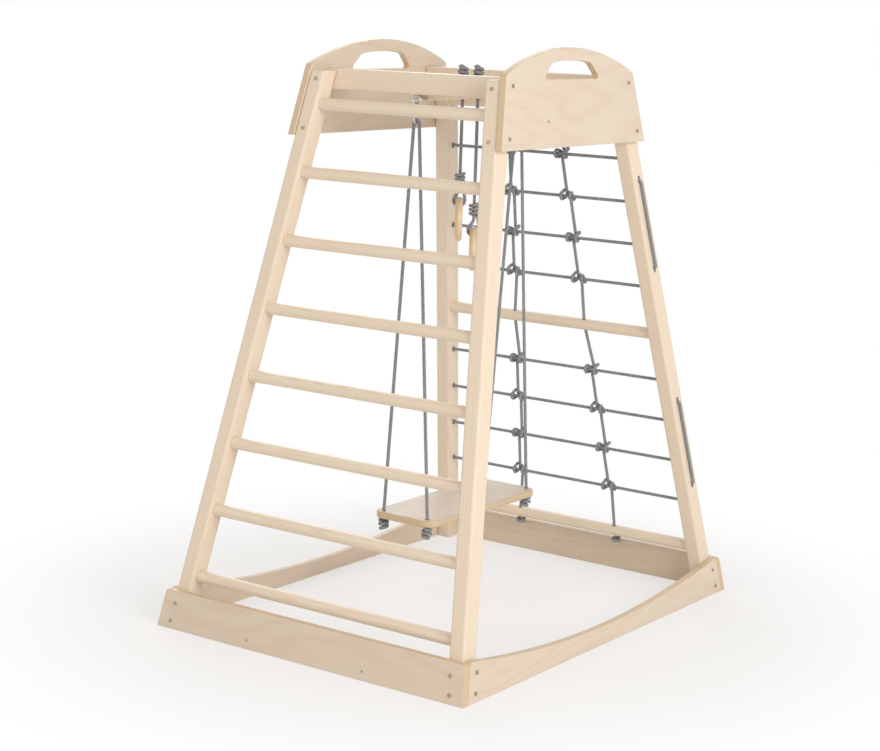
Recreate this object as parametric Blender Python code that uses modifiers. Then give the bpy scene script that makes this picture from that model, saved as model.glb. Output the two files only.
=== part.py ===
"""Indoor play tower: four leaning legs, a ladder side, a rope net side, two arched panels, a swing and two rings.

Metres, +Z up. X runs from the ladder side (-X) to the net side (+X), and the front is -Y.
The origin is on the floor, under the middle of the tower.
"""

import math

import bmesh
import bpy
from mathutils import Matrix, Vector

# Overall sizes, all at floor level
HALF_LENGTH = 0.600
HALF_DEPTH = 0.450
LEAN_X = 0.231
LEAN_Y = 0.122

# Gap that touching pieces keep
FIT = 0.0003

# Legs
LEG_X = 0.050
LEG_Y = 0.040
LEG_TOP = 1.328
LEG_ROUND = 0.005

# Plywood boards and panels
BOARD = 0.018
BOARD_EDGE = 0.002
BOARD_CORNER = 0.010
HOLLOW_BOARD_HEIGHT = 0.090
HOLLOW_BOARD_MIDDLE = 0.043
HOLLOW_BOARD_LAND = 0.014
STRAIGHT_BOARD_HEIGHT = 0.089
PANEL_BOTTOM = 1.174
PANEL_CORNER_HEIGHT = 1.341
PANEL_APEX = 1.400
PANEL_PROUD = 0.003
PANEL_CORNER = 0.012
SLOT_HALF_WIDTH = 0.122
SLOT_BOTTOM = 1.328
SLOT_SHOULDER = (0.085, 1.365)
SLOT_TOP = 1.371
SLOT_SHOULDER_ROUND = 0.030
SLOT_TIP_ROUND = 0.006

# Round rungs
RUNG_RADIUS = 0.0145
RUNG_SIDES = 16
SOCKET_DEPTH = 0.025
SOCKET_OVERRUN = 0.020
LADDER_FIRST = 0.120
LADDER_PITCH = 0.1612
LADDER_COUNT = 8

# Rails between the leg tops, and the beam between the rails
RAIL_THICK = 0.040
RAIL_BOTTOM = 1.282
RAIL_TOP = 1.332
BEAM_WIDTH = 0.040
BEAM_BOTTOM = 1.268
BEAM_TOP = 1.318
TIMBER_ROUND = 0.004

# Rope, used for the net, the swing and the rings
ROPE = 0.00425
ROPE_GAP = 0.0004
ROPE_HOLE = ROPE + 0.0020
ROPE_BEND = 0.007
ROPE_TIP = 0.15 * ROPE
HOLE_SIDES = 10
HOLE_OVERRUN = 0.010
TURN_POINTS = 12
TURN_SLIP = 2 * ROPE + 0.0030
COIL_STEP = 2 * ROPE + 0.0010
COIL_BEND = 0.002
COIL_RISE = 0.0034
KNOT_TURNS = 2

# Rope net
NET_MIDDLE = 0.687
NET_FIRST_GAP = 0.121
NET_PITCH = 0.107
NET_ROWS = 4
NET_TOP_RUNG = 1.248
NET_BOTTOM_RUNG = 0.120
FRONT_HOLE_DROP = 0.050
BACK_HOLE_RISE = 0.030
BLIND_HOLE = 0.022
BLIND_END_GAP = 0.002
UPRIGHT_SHARE_TOP = 0.30
UPRIGHT_SHARE_BOTTOM = 0.40
UPRIGHT_KNOT_TURNS = 1

# Swing
SEAT_BEYOND_ROPE = 0.0157
SEAT_WIDTH = 0.180
SEAT_THICK = 0.018
SEAT_TOP = 0.278
SEAT_CORNER = 0.030
SEAT_EDGE = 0.004
SEAT_HOLE_SPREAD = 0.065
SEAT_ROPE_STRAIGHT = 0.006
SEAT_ROPE_RISE = 0.020
EYE_RADIUS = 0.011
EYE_WIRE = 0.003
EYE_SHANK = 0.028
EYE_WELD = 0.001
LINK_WIRE = 0.003
LINK_HALF_WIDTH = 0.010
LINK_STRAIGHT = 0.028
LINK_NUT_RADIUS = 0.0055
LINK_NUT_LENGTH = 0.013
EYE_PLAY = 0.0006

# Rings
RING_RADIUS = 0.0455
RING_WOOD = 0.009
RING_TOPS = {"left": 1.033, "right": 0.959}
RING_HALF_SPREAD_X = 0.018
RING_HALF_SPREAD_Y = 0.010
RING_TURN = math.radians(35)
RING_COIL_LIFT = 0.032
RING_COIL_TURNS = 3
RING_COIL_EASE = 0.004

# Faces that meet at less than this angle, in degrees, are shaded as one
SMOOTH_ANGLE = 35
TUBE_SMOOTH_ANGLE = 70


def new_collection(name):
    collection = bpy.data.collections.new(name)
    bpy.context.scene.collection.children.link(collection)
    return collection


for old in list(bpy.data.objects):
    bpy.data.objects.remove(old, do_unlink=True)

PARTS = new_collection("indoor_play_tower")
CUTTERS = new_collection("cutters")


def new_material(name, colour, roughness, metallic=0.0):
    made = bpy.data.materials.new(name)
    made.use_nodes = True
    shader = made.node_tree.nodes["Principled BSDF"]
    shader.inputs["Base Color"].default_value = (*colour, 1.0)
    shader.inputs["Roughness"].default_value = roughness
    shader.inputs["Metallic"].default_value = metallic
    made.diffuse_color = (*colour, 1.0)
    return made


PINE = new_material("pine", (0.80, 0.64, 0.45), 0.5)
PLYWOOD = new_material("birch_plywood", (0.82, 0.68, 0.50), 0.45)
BEECH = new_material("ring_wood", (0.78, 0.58, 0.36), 0.4)
CORD = new_material("grey_rope", (0.23, 0.24, 0.25), 0.85)
STEEL = new_material("zinc_steel", (0.62, 0.62, 0.64), 0.3, 1.0)


def add_object(name, mesh, material, place=(0, 0, 0), turn=0.0, smooth_angle=SMOOTH_ANGLE):
    """A finished sub-part: its mesh, its material, and where it stands."""
    mesh.materials.clear()
    mesh.materials.append(material)
    mesh.shade_smooth()
    mesh.set_sharp_from_angle(angle=math.radians(smooth_angle))
    made = bpy.data.objects.new(name, mesh)
    made.location = place
    made.rotation_euler = (0, 0, turn)
    PARTS.objects.link(made)
    return made


def add_cutter(name, mesh):
    made = bpy.data.objects.new(name, mesh)
    made.hide_render = True
    made.display_type = "WIRE"
    CUTTERS.objects.link(made)
    return made


def cut(target, cutter):
    modifier = target.modifiers.new("cut", "BOOLEAN")
    modifier.operation = "DIFFERENCE"
    modifier.solver = "EXACT"
    modifier.object = cutter


def bevel(target, width):
    modifier = target.modifiers.new("rounded_edges", "BEVEL")
    modifier.width = width
    modifier.segments = 2
    modifier.limit_method = "ANGLE"
    modifier.angle_limit = math.radians(30)


def mesh_from(build):
    """A mesh filled by the function build, which is given an empty bmesh."""
    work = bmesh.new()
    build(work)
    bmesh.ops.recalc_face_normals(work, faces=work.faces)
    mesh = bpy.data.meshes.new("shape")
    work.to_mesh(mesh)
    work.free()
    return mesh


def mesh_of_curve(curve):
    """The mesh of a curve's data, with its caps welded on and its flat faces made whole."""
    holder = bpy.data.objects.new("guide", curve)
    CUTTERS.objects.link(holder)
    bpy.context.view_layer.update()
    graph = bpy.context.evaluated_depsgraph_get()
    mesh = bpy.data.meshes.new_from_object(holder.evaluated_get(graph))
    bpy.data.objects.remove(holder, do_unlink=True)
    work = bmesh.new()
    work.from_mesh(mesh)
    bmesh.ops.remove_doubles(work, verts=work.verts, dist=0.00001)
    bmesh.ops.recalc_face_normals(work, faces=work.faces)
    work.to_mesh(mesh)
    work.free()
    return mesh


def flat_shape(outline, thickness):
    """A flat plate of this outline in X and Y, lying evenly on both sides of Z = 0."""
    curve = bpy.data.curves.new("outline", "CURVE")
    curve.dimensions = "2D"
    curve.fill_mode = "BOTH"
    curve.extrude = thickness / 2
    spline = curve.splines.new("POLY")
    spline.points.add(len(outline) - 1)
    for point, (across, up) in zip(spline.points, outline):
        point.co = (across, up, 0, 1)
    spline.use_cyclic_u = True
    mesh = mesh_of_curve(curve)
    work = bmesh.new()
    work.from_mesh(mesh)
    bmesh.ops.dissolve_limit(work, angle_limit=math.radians(1), verts=work.verts, edges=work.edges)
    work.to_mesh(mesh)
    work.free()
    return mesh


def tube(points, radius, sides_level=1, closed=False):
    """A rope or wire of this radius along the points."""
    curve = bpy.data.curves.new("route", "CURVE")
    curve.dimensions = "3D"
    curve.bevel_depth = radius
    curve.bevel_resolution = sides_level
    curve.use_fill_caps = not closed
    spline = curve.splines.new("POLY")
    spline.points.add(len(points) - 1)
    for point, place in zip(spline.points, points):
        point.co = (*place, 1)
    spline.use_cyclic_u = closed
    return mesh_of_curve(curve)


def rounded_corners(corners, radius, steps=4):
    """The same path with each corner between two straight runs made an arc. End points stay."""
    path = [Vector(corners[0])]
    for before, corner, after in zip(corners, corners[1:], corners[2:]):
        corner = Vector(corner)
        back = (Vector(before) - corner).normalized()
        ahead = (Vector(after) - corner).normalized()
        half = back.angle(ahead) / 2
        centre = corner + (back + ahead).normalized() * (radius / math.sin(half))
        start = (corner + back * (radius / math.tan(half)) - centre).normalized()
        end = (corner + ahead * (radius / math.tan(half)) - centre).normalized()
        for step in range(steps + 1):
            path.append(centre + radius * start.slerp(end, step / steps))
    path.append(Vector(corners[-1]))
    return path


def rounded_outline(corners, radius, steps=4):
    """A closed outline with all its corners rounded alike."""
    ring = [(*corners[-1], 0)] + [(*corner, 0) for corner in corners] + [(*corners[0], 0)]
    return [(point.x, point.y) for point in rounded_corners(ring, radius, steps)[1:-1]]


def arc_between(start, end, middle_height, steps):
    """Points of the circle through start, the point half way at middle_height, and end, without the two ends."""
    half = (end[0] - start[0]) / 2
    rise = middle_height - start[1]
    radius = (half**2 + rise**2) / (2 * rise)
    centre = (start[0] + half, middle_height - radius)
    swing = math.asin(half / radius)
    side = math.copysign(1, radius)
    found = []
    for step in range(1, steps):
        angle = swing * (2 * step / steps - 1)
        found.append((centre[0] + radius * math.sin(angle), centre[1] + side * abs(radius) * math.cos(angle)))
    return found


def side_x(height):
    return HALF_LENGTH - LEAN_X * height


def side_y(height):
    return HALF_DEPTH - LEAN_Y * height


def leg_outer_x(height):
    return side_x(height) - BOARD - FIT


def leg_outer_y(height):
    return side_y(height) - BOARD - FIT


def leg_inner_y(height):
    return leg_outer_y(height) - LEG_Y


def leg_middle_x(height):
    return leg_outer_x(height) - LEG_X / 2


def leaning_board(name, outline, thickness, outer, lean, turn, material):
    """A board whose outline is drawn as (across, height). Its outer face is at outer on the floor and leans in.

    turn says which side it closes: 0 the back, half a turn the front, a quarter the ladder side.
    """
    foot = min(height for _, height in outline)
    mesh = flat_shape([(across, height - foot) for across, height in outline], thickness)
    upright = Matrix(((1, 0, 0, 0), (0, -lean, -1, 0), (0, 1, 0, 0), (0, 0, 0, 1)))
    mesh.transform(upright)
    distance = outer - lean * foot - thickness / 2
    place = Matrix.Rotation(turn, 4, "Z") @ Vector((0, distance, foot))
    return add_object(name, mesh, material, place, turn)


def box(work, size, centre):
    bmesh.ops.create_cube(work, size=1, matrix=Matrix.Translation(centre) @ Matrix.Diagonal((*size, 1)))


def cylinder(work, start, end, radius, sides):
    """A closed cylinder between two points."""
    start = Vector(start)
    end = Vector(end)
    turn = (end - start).to_track_quat("Z", "Y").to_matrix().to_4x4()
    bmesh.ops.create_cone(
        work,
        cap_ends=True,
        segments=sides,
        radius1=radius,
        radius2=radius,
        depth=(end - start).length,
        matrix=Matrix.Translation((start + end) / 2) @ turn,
    )


def net_rows(first, step):
    """Heights of one set of net rows, counted away from the middle rung."""
    return [first + step * row for row in range(NET_ROWS)]


def upper_rows():
    return list(reversed(net_rows(NET_MIDDLE + NET_FIRST_GAP, NET_PITCH)))


def lower_rows():
    return net_rows(NET_MIDDLE - NET_FIRST_GAP, -NET_PITCH)


def net_rungs():
    return {"top": NET_TOP_RUNG, "middle": NET_MIDDLE, "bottom": NET_BOTTOM_RUNG}


def ladder_heights():
    return [LADDER_FIRST + LADDER_PITCH * rung for rung in range(LADDER_COUNT)]


def rope_mouths(side, row, rise):
    """Where a rope hole through a net leg opens: on its inner face at row, on its outer face at row + rise."""
    out = row + rise
    inner = Vector((leg_middle_x(row), side * leg_inner_y(row), row))
    outer = Vector((leg_middle_x(out), side * leg_outer_y(out), out))
    return inner, outer


def rope_holes(work, side, rows):
    """Holes in one net leg: the front leg has its outer two bored through and its inner two blind."""
    first, second, third, fourth = rows
    if side < 0:
        through = {first: -FRONT_HOLE_DROP, fourth: FRONT_HOLE_DROP}
        blind = (second, third)
    else:
        through = {first: -BACK_HOLE_RISE, second: BACK_HOLE_RISE, third: -BACK_HOLE_RISE, fourth: BACK_HOLE_RISE}
        blind = ()
    for row, rise in through.items():
        inner, outer = rope_mouths(side, row, rise)
        past = (outer - inner).normalized() * HOLE_OVERRUN
        cylinder(work, inner - past, outer + past, ROPE_HOLE, HOLE_SIDES)
    for row in blind:
        mouth = side * leg_inner_y(row)
        x = leg_middle_x(row)
        near = (x, mouth - side * HOLE_OVERRUN, row)
        cylinder(work, near, (x, mouth + side * BLIND_HOLE, row), ROPE_HOLE, HOLE_SIDES)


def rung_sockets(work, end, side, heights):
    for height in heights:
        mouth = side * leg_inner_y(height)
        x = end * leg_middle_x(height)
        near = (x, mouth - side * SOCKET_OVERRUN, height)
        far = (x, mouth + side * SOCKET_DEPTH, height)
        cylinder(work, near, far, RUNG_RADIUS + FIT, RUNG_SIDES)


def make_leg(name, end, side):
    """One leg. end is -1 on the ladder side and 1 on the net side, side is -1 at the front and 1 at the back."""
    foot_x = end * leg_middle_x(0)
    foot_y = side * (leg_outer_y(0) - LEG_Y / 2)
    mesh = mesh_from(lambda work: box(work, (LEG_X, LEG_Y, LEG_TOP), (0, 0, LEG_TOP / 2)))
    mesh.transform(Matrix(((1, 0, -end * LEAN_X, 0), (0, 1, -side * LEAN_Y, 0), (0, 0, 1, 0), (0, 0, 0, 1))))
    leg = add_object(name, mesh, PINE, (foot_x, foot_y, 0))
    bevel(leg, LEG_ROUND)

    def sockets(work):
        if end < 0:
            rung_sockets(work, end, side, ladder_heights())
        else:
            rung_sockets(work, end, side, net_rungs().values())
            rope_holes(work, side, upper_rows())
            rope_holes(work, side, lower_rows())

    cut(leg, add_cutter(name + "_sockets", mesh_from(sockets)))


def make_rung(name, end, height):
    reach = leg_inner_y(height) + SOCKET_DEPTH - FIT
    mesh = mesh_from(lambda work: cylinder(work, (0, -reach, 0), (0, reach, 0), RUNG_RADIUS, RUNG_SIDES))
    return add_object(name, mesh, PINE, (end * leg_middle_x(height), 0, height))


def make_net_rung(name, height):
    """A rung of the net side, bored for the two upright ropes."""
    rung = make_rung(name, 1, height)

    def bores(work):
        for side in (-1, 1):
            low, high = rung_mouths(side, height)
            past = (high - low).normalized() * HOLE_OVERRUN
            cylinder(work, low - past, high + past, ROPE_HOLE, HOLE_SIDES)

    cut(rung, add_cutter(name + "_bores", mesh_from(bores)))


def make_hollow_board(name, turn):
    """The front or back base board, low in the middle, which stands against the legs' outer faces."""
    top = HOLLOW_BOARD_HEIGHT
    foot = side_x(0) - BOARD - FIT
    head = side_x(top) - BOARD - FIT
    land = head - HOLLOW_BOARD_LAND
    corners = rounded_corners([(land, top, 0), (head, top, 0), (foot, 0, 0)], BOARD_CORNER)
    right = [(point.x, point.y) for point in reversed(corners)]
    left = [(-across, height) for across, height in reversed(right)]
    hollow = arc_between((-land, top), (land, top), HOLLOW_BOARD_MIDDLE, 16)
    outline = right + list(reversed(hollow)) + left
    bevel(leaning_board(name, outline, BOARD, HALF_DEPTH, LEAN_Y, turn, PLYWOOD), BOARD_EDGE)


def make_straight_board(name, turn):
    """The ladder or net base board, which covers the ends of the hollow boards."""
    foot = side_y(0)
    head = side_y(STRAIGHT_BOARD_HEIGHT)
    top = STRAIGHT_BOARD_HEIGHT
    corners = rounded_corners([(0, top, 0), (head, top, 0), (foot, 0, 0)], BOARD_CORNER)[1:]
    right = [(point.x, point.y) for point in reversed(corners)]
    left = [(-across, height) for across, height in reversed(right)]
    bevel(leaning_board(name, right + left, BOARD, HALF_LENGTH, LEAN_X, turn, PLYWOOD), BOARD_EDGE)


def panel_end(height):
    return leg_outer_x(height) + PANEL_PROUD


def panel_outline():
    """An arch over two straight sides that lean with the legs, with rounded shoulders."""
    foot = (panel_end(PANEL_BOTTOM), PANEL_BOTTOM)
    shoulder = (panel_end(PANEL_CORNER_HEIGHT), PANEL_CORNER_HEIGHT)
    arch = arc_between((-shoulder[0], shoulder[1]), shoulder, PANEL_APEX, 20)
    corner = rounded_corners([(*foot, 0), (*shoulder, 0), (*arch[-1], 0)], PANEL_CORNER)
    right = [(point.x, point.y) for point in corner[:-1]]
    left = [(-across, height) for across, height in reversed(right)]
    return right + list(reversed(arch)) + left


def slot_outline():
    """The handle slot: a flat base, two narrow tips, and an arched top that follows the panel's."""
    across, height = SLOT_SHOULDER
    arch = arc_between((-across, height), (across, height), SLOT_TOP, 5)
    base = (0, SLOT_BOTTOM, 0)
    tip = (SLOT_HALF_WIDTH, SLOT_BOTTOM, 0)
    shoulder = (across, height, 0)
    corner = rounded_corners([base, tip, shoulder], SLOT_TIP_ROUND)[1:-1]
    corner += rounded_corners([tip, shoulder, (*arch[-1], 0)], SLOT_SHOULDER_ROUND)[1:-1]
    right = [(point.x, point.y) for point in corner]
    left = [(-across, height) for across, height in reversed(right)]
    return right + list(reversed(arch)) + left


def make_panel(name, turn):
    """An arched top panel on the legs' outer faces, with its handle slot."""
    panel = leaning_board(name, panel_outline(), BOARD, HALF_DEPTH, LEAN_Y, turn, PLYWOOD)
    mesh = flat_shape(slot_outline(), 4 * BOARD)
    mesh.transform(Matrix(((1, 0, 0, 0), (0, 0, -1, 0), (0, 1, 0, 0), (0, 0, 0, 1))))
    distance = side_y(SLOT_BOTTOM) - BOARD / 2
    mesh.transform(Matrix.Rotation(turn, 4, "Z") @ Matrix.Translation((0, distance, 0)))
    cut(panel, add_cutter(name + "_slot", mesh))
    bevel(panel, BOARD_EDGE)


def rail_outer():
    """The rails' outer face, at floor level, behind the legs."""
    return HALF_LENGTH - BOARD - 2 * FIT - LEG_X


def rail_inner(height):
    return rail_outer() - LEAN_X * height - RAIL_THICK


def rail_middle(height):
    return rail_inner(height) + RAIL_THICK / 2


def make_rail(name, turn, end):
    low = leg_outer_y(RAIL_BOTTOM)
    high = leg_outer_y(RAIL_TOP)
    outline = [(low, RAIL_BOTTOM), (high, RAIL_TOP), (-high, RAIL_TOP), (-low, RAIL_BOTTOM)]
    rail = leaning_board(name, outline, RAIL_THICK, rail_outer(), LEAN_X, turn, PINE)
    bevel(rail, TIMBER_ROUND)

    def eye_hole(work):
        x = end * swing_x()
        low_end = (x, 0, RAIL_BOTTOM - HOLE_OVERRUN)
        cylinder(work, low_end, (x, 0, RAIL_BOTTOM + EYE_SHANK + FIT), EYE_WIRE + FIT, HOLE_SIDES)

    cut(rail, add_cutter(name + "_eye_hole", mesh_from(eye_hole)))


def ring_place(which):
    side = {"left": -1, "right": 1}[which]
    return Vector((side * RING_HALF_SPREAD_X, -side * RING_HALF_SPREAD_Y, 0))


def make_beam():
    low = rail_inner(BEAM_BOTTOM) - FIT
    high = rail_inner(BEAM_TOP) - FIT
    outline = [(low, BEAM_BOTTOM), (high, BEAM_TOP), (-high, BEAM_TOP), (-low, BEAM_BOTTOM)]
    beam = leaning_board("hanging_beam", outline, BEAM_WIDTH, BEAM_WIDTH / 2, 0, 0, PINE)
    bevel(beam, TIMBER_ROUND)

    def rope_holes_down(work):
        for which in RING_TOPS:
            place = ring_place(which)
            low_end = (place.x, place.y, BEAM_BOTTOM - HOLE_OVERRUN)
            high_end = (place.x, place.y, BEAM_TOP + HOLE_OVERRUN)
            cylinder(work, low_end, high_end, ROPE_HOLE, HOLE_SIDES)

    cut(beam, add_cutter("hanging_beam_holes", mesh_from(rope_holes_down)))


def coil_knot(turns, reach):
    """A rope's end wound back round itself, drawn along +Z from the knot's near face at 0.

    The rope comes in along the axis from -reach, runs through its own turns, and winds back over itself.
    """
    far = ROPE + COIL_STEP * turns
    points = [Vector((0, 0, -reach)), Vector((0, 0, far - COIL_BEND))]
    half_turn = TURN_POINTS // 2
    for step in range(1, half_turn + 1):
        share = step / half_turn
        angle = math.pi * share
        out = COIL_STEP * share**0.8
        height = far + COIL_RISE * math.sin(angle) ** 0.5
        points.append(Vector((out * math.cos(angle), out * math.sin(angle), height)))
    for step in range(1, turns * TURN_POINTS + 1):
        angle = math.pi + 2 * math.pi * step / TURN_POINTS
        height = far - COIL_STEP * step / TURN_POINTS
        points.append(Vector((COIL_STEP * math.cos(angle), COIL_STEP * math.sin(angle), height)))
    return points


def least_gap(points):
    """The least distance between two stretches of a rope that aren't neighbours, less its thickness."""
    spacing = 0.001
    fine = []
    travelled = [0.0]
    for start, end in zip(points, points[1:]):
        count = max(1, round((end - start).length / spacing))
        for step in range(count):
            fine.append(start.lerp(end, step / count))
            travelled.append(travelled[-1] + (end - start).length / count)
    nearest = 1.0
    for i, here in enumerate(fine):
        for j in range(i + 1, len(fine)):
            if travelled[j] - travelled[i] > 4.5 * ROPE:
                nearest = min(nearest, (fine[j] - here).length)
    return nearest - 2 * ROPE


def lacing_route(rows):
    """One rope laced through both net legs, four times across.

    It starts in the front leg at the second row, and ends there at the third. Behind the back leg it runs from
    the second row to the first and from the fourth to the third, and down the front leg from the first to the fourth.
    """
    first, second, third, fourth = rows
    off = ROPE + FIT

    def blind_end(row):
        return Vector((leg_middle_x(row), -leg_inner_y(row) - BLIND_HOLE + BLIND_END_GAP, row))

    def corner_out(side, row, rise):
        inner, outer = rope_mouths(side, row, rise)
        along = (outer - inner) / abs(outer.y - inner.y)
        return [inner, outer + along * off / (1 + LEAN_Y * along.z)]

    route = [blind_end(second)]
    route += corner_out(1, second, BACK_HOLE_RISE)
    route += reversed(corner_out(1, first, -BACK_HOLE_RISE))
    route += corner_out(-1, first, -FRONT_HOLE_DROP)
    route += reversed(corner_out(-1, fourth, FRONT_HOLE_DROP))
    route += corner_out(1, fourth, BACK_HOLE_RISE)
    route += reversed(corner_out(1, third, -BACK_HOLE_RISE))
    route.append(blind_end(third))
    return rounded_corners(route, ROPE_BEND, steps=3)


def upright_y(side, height):
    """The upright ropes spread apart downwards, a little more than the legs do."""
    down = (NET_TOP_RUNG - height) / (NET_TOP_RUNG - NET_BOTTOM_RUNG)
    share = UPRIGHT_SHARE_TOP + (UPRIGHT_SHARE_BOTTOM - UPRIGHT_SHARE_TOP) * down
    return side * share * leg_inner_y(height)


def upright_point(side, height):
    return Vector((leg_middle_x(height), upright_y(side, height), height))


def rung_mouths(side, height):
    """Where an upright rope's hole through a net rung opens, below and above."""
    below = upright_point(side, height - RUNG_RADIUS)
    above = upright_point(side, height + RUNG_RADIUS)
    along = (above - below).normalized()
    middle = upright_point(side, height)
    return middle - along * RUNG_RADIUS, middle + along * RUNG_RADIUS


def row_turn(side, height, slip):
    """Points of one turn round a row, from outside the net to outside it again.

    The rope goes round below, inside and above the row, and moves along it by slip. The straight runs between
    the points keep clear of the row.
    """
    up = Vector((-LEAN_X, 0, 1)).normalized()
    out = Vector((1, 0, LEAN_X)).normalized()
    axis = upright_point(side, height)
    radius = (2 * ROPE + ROPE_GAP) / math.cos(math.pi / TURN_POINTS)
    points = []
    for step in range(TURN_POINTS + 1):
        angle = -2 * math.pi * step / TURN_POINTS
        along = Vector((0, slip * (step / TURN_POINTS - 0.5), 0))
        points.append(axis + along + radius * (math.cos(angle) * out + math.sin(angle) * up))
    return points


def upright_knot(mouth, along):
    """The knot that holds an upright rope outside a rung's hole, lifted so that its tilt clears the rung."""
    turn = along.to_track_quat("Z", "Y")
    lift = along * (FIT + COIL_STEP * abs(along.y))
    return [mouth + lift + turn @ point for point in coil_knot(UPRIGHT_KNOT_TURNS, 0)]


def upright_route(side):
    """An upright net rope: knotted over the top rung and under the bottom one, and through the middle one.

    Between the rungs it takes one turn about each row.
    """
    low, high = rung_mouths(side, NET_TOP_RUNG)
    route = list(reversed(upright_knot(high, (high - low).normalized())))
    route.append(low)
    for count, row in enumerate(upper_rows()):
        route += row_turn(side, row, TURN_SLIP * (-1) ** (count + 1))
    route += reversed(rung_mouths(side, NET_MIDDLE))
    for count, row in enumerate(lower_rows()):
        route += row_turn(side, row, TURN_SLIP * (-1) ** count)
    low, high = rung_mouths(side, NET_BOTTOM_RUNG)
    route.append(high)
    return route + upright_knot(low, (low - high).normalized())


def print_length(name, route):
    print(f"{name}: length {sum((b - a).length for a, b in zip(route, route[1:])):.3f} m")


def print_gap(name, route):
    print(f"{name}: least gap to itself {1000 * least_gap(route):.2f} mm")


def add_rope(name, route, place=(0, 0, 0)):
    print_length(name, route)
    add_object(name, tube(route, ROPE), CORD, place, smooth_angle=TUBE_SMOOTH_ANGLE)


def swing_x():
    return rail_middle(RAIL_BOTTOM)


def eye_height():
    return RAIL_BOTTOM - FIT - EYE_RADIUS - EYE_WIRE


def swing_pivot_height():
    """The link's top wire hangs in the screw eye: the swing turns about this height."""
    return eye_height() - EYE_RADIUS + EYE_WIRE + LINK_WIRE + EYE_PLAY


def link_bottom_height():
    return swing_pivot_height() - LINK_STRAIGHT - 2 * LINK_HALF_WIDTH


def union(name, pieces, material, place):
    """One body from overlapping pieces, each a mesh in the body's own frame."""
    first, *others = pieces
    body = add_object(name, first, material, place)
    for count, piece in enumerate(others):
        helper = add_cutter(f"{name}_joined_{count}", piece)
        helper.location = place
        joined = body.modifiers.new("join", "BOOLEAN")
        joined.operation = "UNION"
        joined.solver = "EXACT"
        joined.object = helper
    return body


def torus_points(radius, count, centre=(0, 0, 0)):
    """A ring of points about X."""
    found = []
    for step in range(count):
        angle = 2 * math.pi * (step + 0.5) / count
        found.append(Vector(centre) + radius * Vector((0, math.cos(angle), math.sin(angle))))
    return found


def make_swing_eye(name, end):
    shank_top = RAIL_BOTTOM + EYE_SHANK - eye_height()
    foot = EYE_RADIUS - EYE_WELD
    shank = mesh_from(lambda work: cylinder(work, (0, 0, foot), (0, 0, shank_top), EYE_WIRE, HOLE_SIDES))
    ring = tube(torus_points(EYE_RADIUS, 24), EYE_WIRE, 2, closed=True)
    union(name, [ring, shank], STEEL, (end * swing_x(), 0, eye_height()))


def make_swing_link(name, end):
    """An oval screw link in the XZ plane. Its origin is on the swing's axis."""
    width = LINK_HALF_WIDTH
    points = []
    for half, sign in ((0, 1), (1, -1)):
        base = -width if sign > 0 else -width - LINK_STRAIGHT
        for step in range(9):
            angle = math.pi * step / 8 + math.pi * half
            points.append(Vector((width * math.cos(angle), 0, base + width * math.sin(angle))))
    wire = tube(points, LINK_WIRE, 2, closed=True)
    middle = -width - LINK_STRAIGHT / 2
    low = (-width, 0, middle - LINK_NUT_LENGTH / 2)
    high = (-width, 0, middle + LINK_NUT_LENGTH / 2)
    nut = mesh_from(lambda work: cylinder(work, low, high, LINK_NUT_RADIUS, 6))
    union(name, [wire, nut], STEEL, (end * swing_x(), 0, swing_pivot_height()))


def swing_rope_route():
    """From the knot under the seat's back hole over the link and down to the knot under its front hole."""
    bight = LINK_WIRE + ROPE + ROPE_GAP
    seat = link_bottom_height() - SEAT_TOP
    lean = SEAT_ROPE_RISE / seat
    knot = coil_knot(KNOT_TURNS, 0)
    face = SEAT_THICK + FIT
    half = []
    for point in reversed(knot[1:]):
        half.append(Vector((point.x, SEAT_HOLE_SPREAD + point.y, -seat - face - point.z)))
    half.append(Vector((0, SEAT_HOLE_SPREAD, -seat - SEAT_THICK / 2)))
    half.append(Vector((0, SEAT_HOLE_SPREAD, -seat + SEAT_ROPE_STRAIGHT)))
    leaned = SEAT_HOLE_SPREAD + (bight - SEAT_HOLE_SPREAD) * lean
    half.append(Vector((0, leaned, -seat + SEAT_ROPE_RISE)))
    over = []
    half_turn = TURN_POINTS // 2
    for step in range(half_turn + 1):
        angle = math.pi * step / half_turn
        over.append(Vector((0, bight * math.cos(angle), bight * math.sin(angle))))
    other = [Vector((point.x, -point.y, point.z)) for point in reversed(half)]
    return half + over + other


def make_seat():
    half_x = swing_x() + SEAT_BEYOND_ROPE
    half_y = SEAT_WIDTH / 2
    corners = [(half_x, -half_y), (half_x, half_y), (-half_x, half_y), (-half_x, -half_y)]
    mesh = flat_shape(rounded_outline(corners, SEAT_CORNER, steps=6), SEAT_THICK)
    place = Vector((0, 0, SEAT_TOP - SEAT_THICK / 2))
    seat = add_object("swing_seat", mesh, PLYWOOD, place)
    bevel(seat, SEAT_EDGE)

    def holes(work):
        for end in (-1, 1):
            for side in (-1, 1):
                x = end * swing_x()
                y = side * SEAT_HOLE_SPREAD
                low_end = (x, y, SEAT_TOP - SEAT_THICK - HOLE_OVERRUN)
                cylinder(work, low_end, (x, y, SEAT_TOP + HOLE_OVERRUN), ROPE_HOLE, HOLE_SIDES)

    cut(seat, add_cutter("swing_seat_holes", mesh_from(holes)))


def ring_pivot(which):
    return ring_place(which) + Vector((0, 0, BEAM_BOTTOM - ROPE - FIT))


def make_ring_anchor(which):
    """The rope in the beam, with the knot that holds it on top."""
    name = f"ring_rope_{which}_anchor"
    knot = coil_knot(KNOT_TURNS, BEAM_TOP - BEAM_BOTTOM + FIT)
    print_gap(name, knot)
    add_rope(name, knot, ring_place(which) + Vector((0, 0, BEAM_TOP + FIT)))


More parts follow.
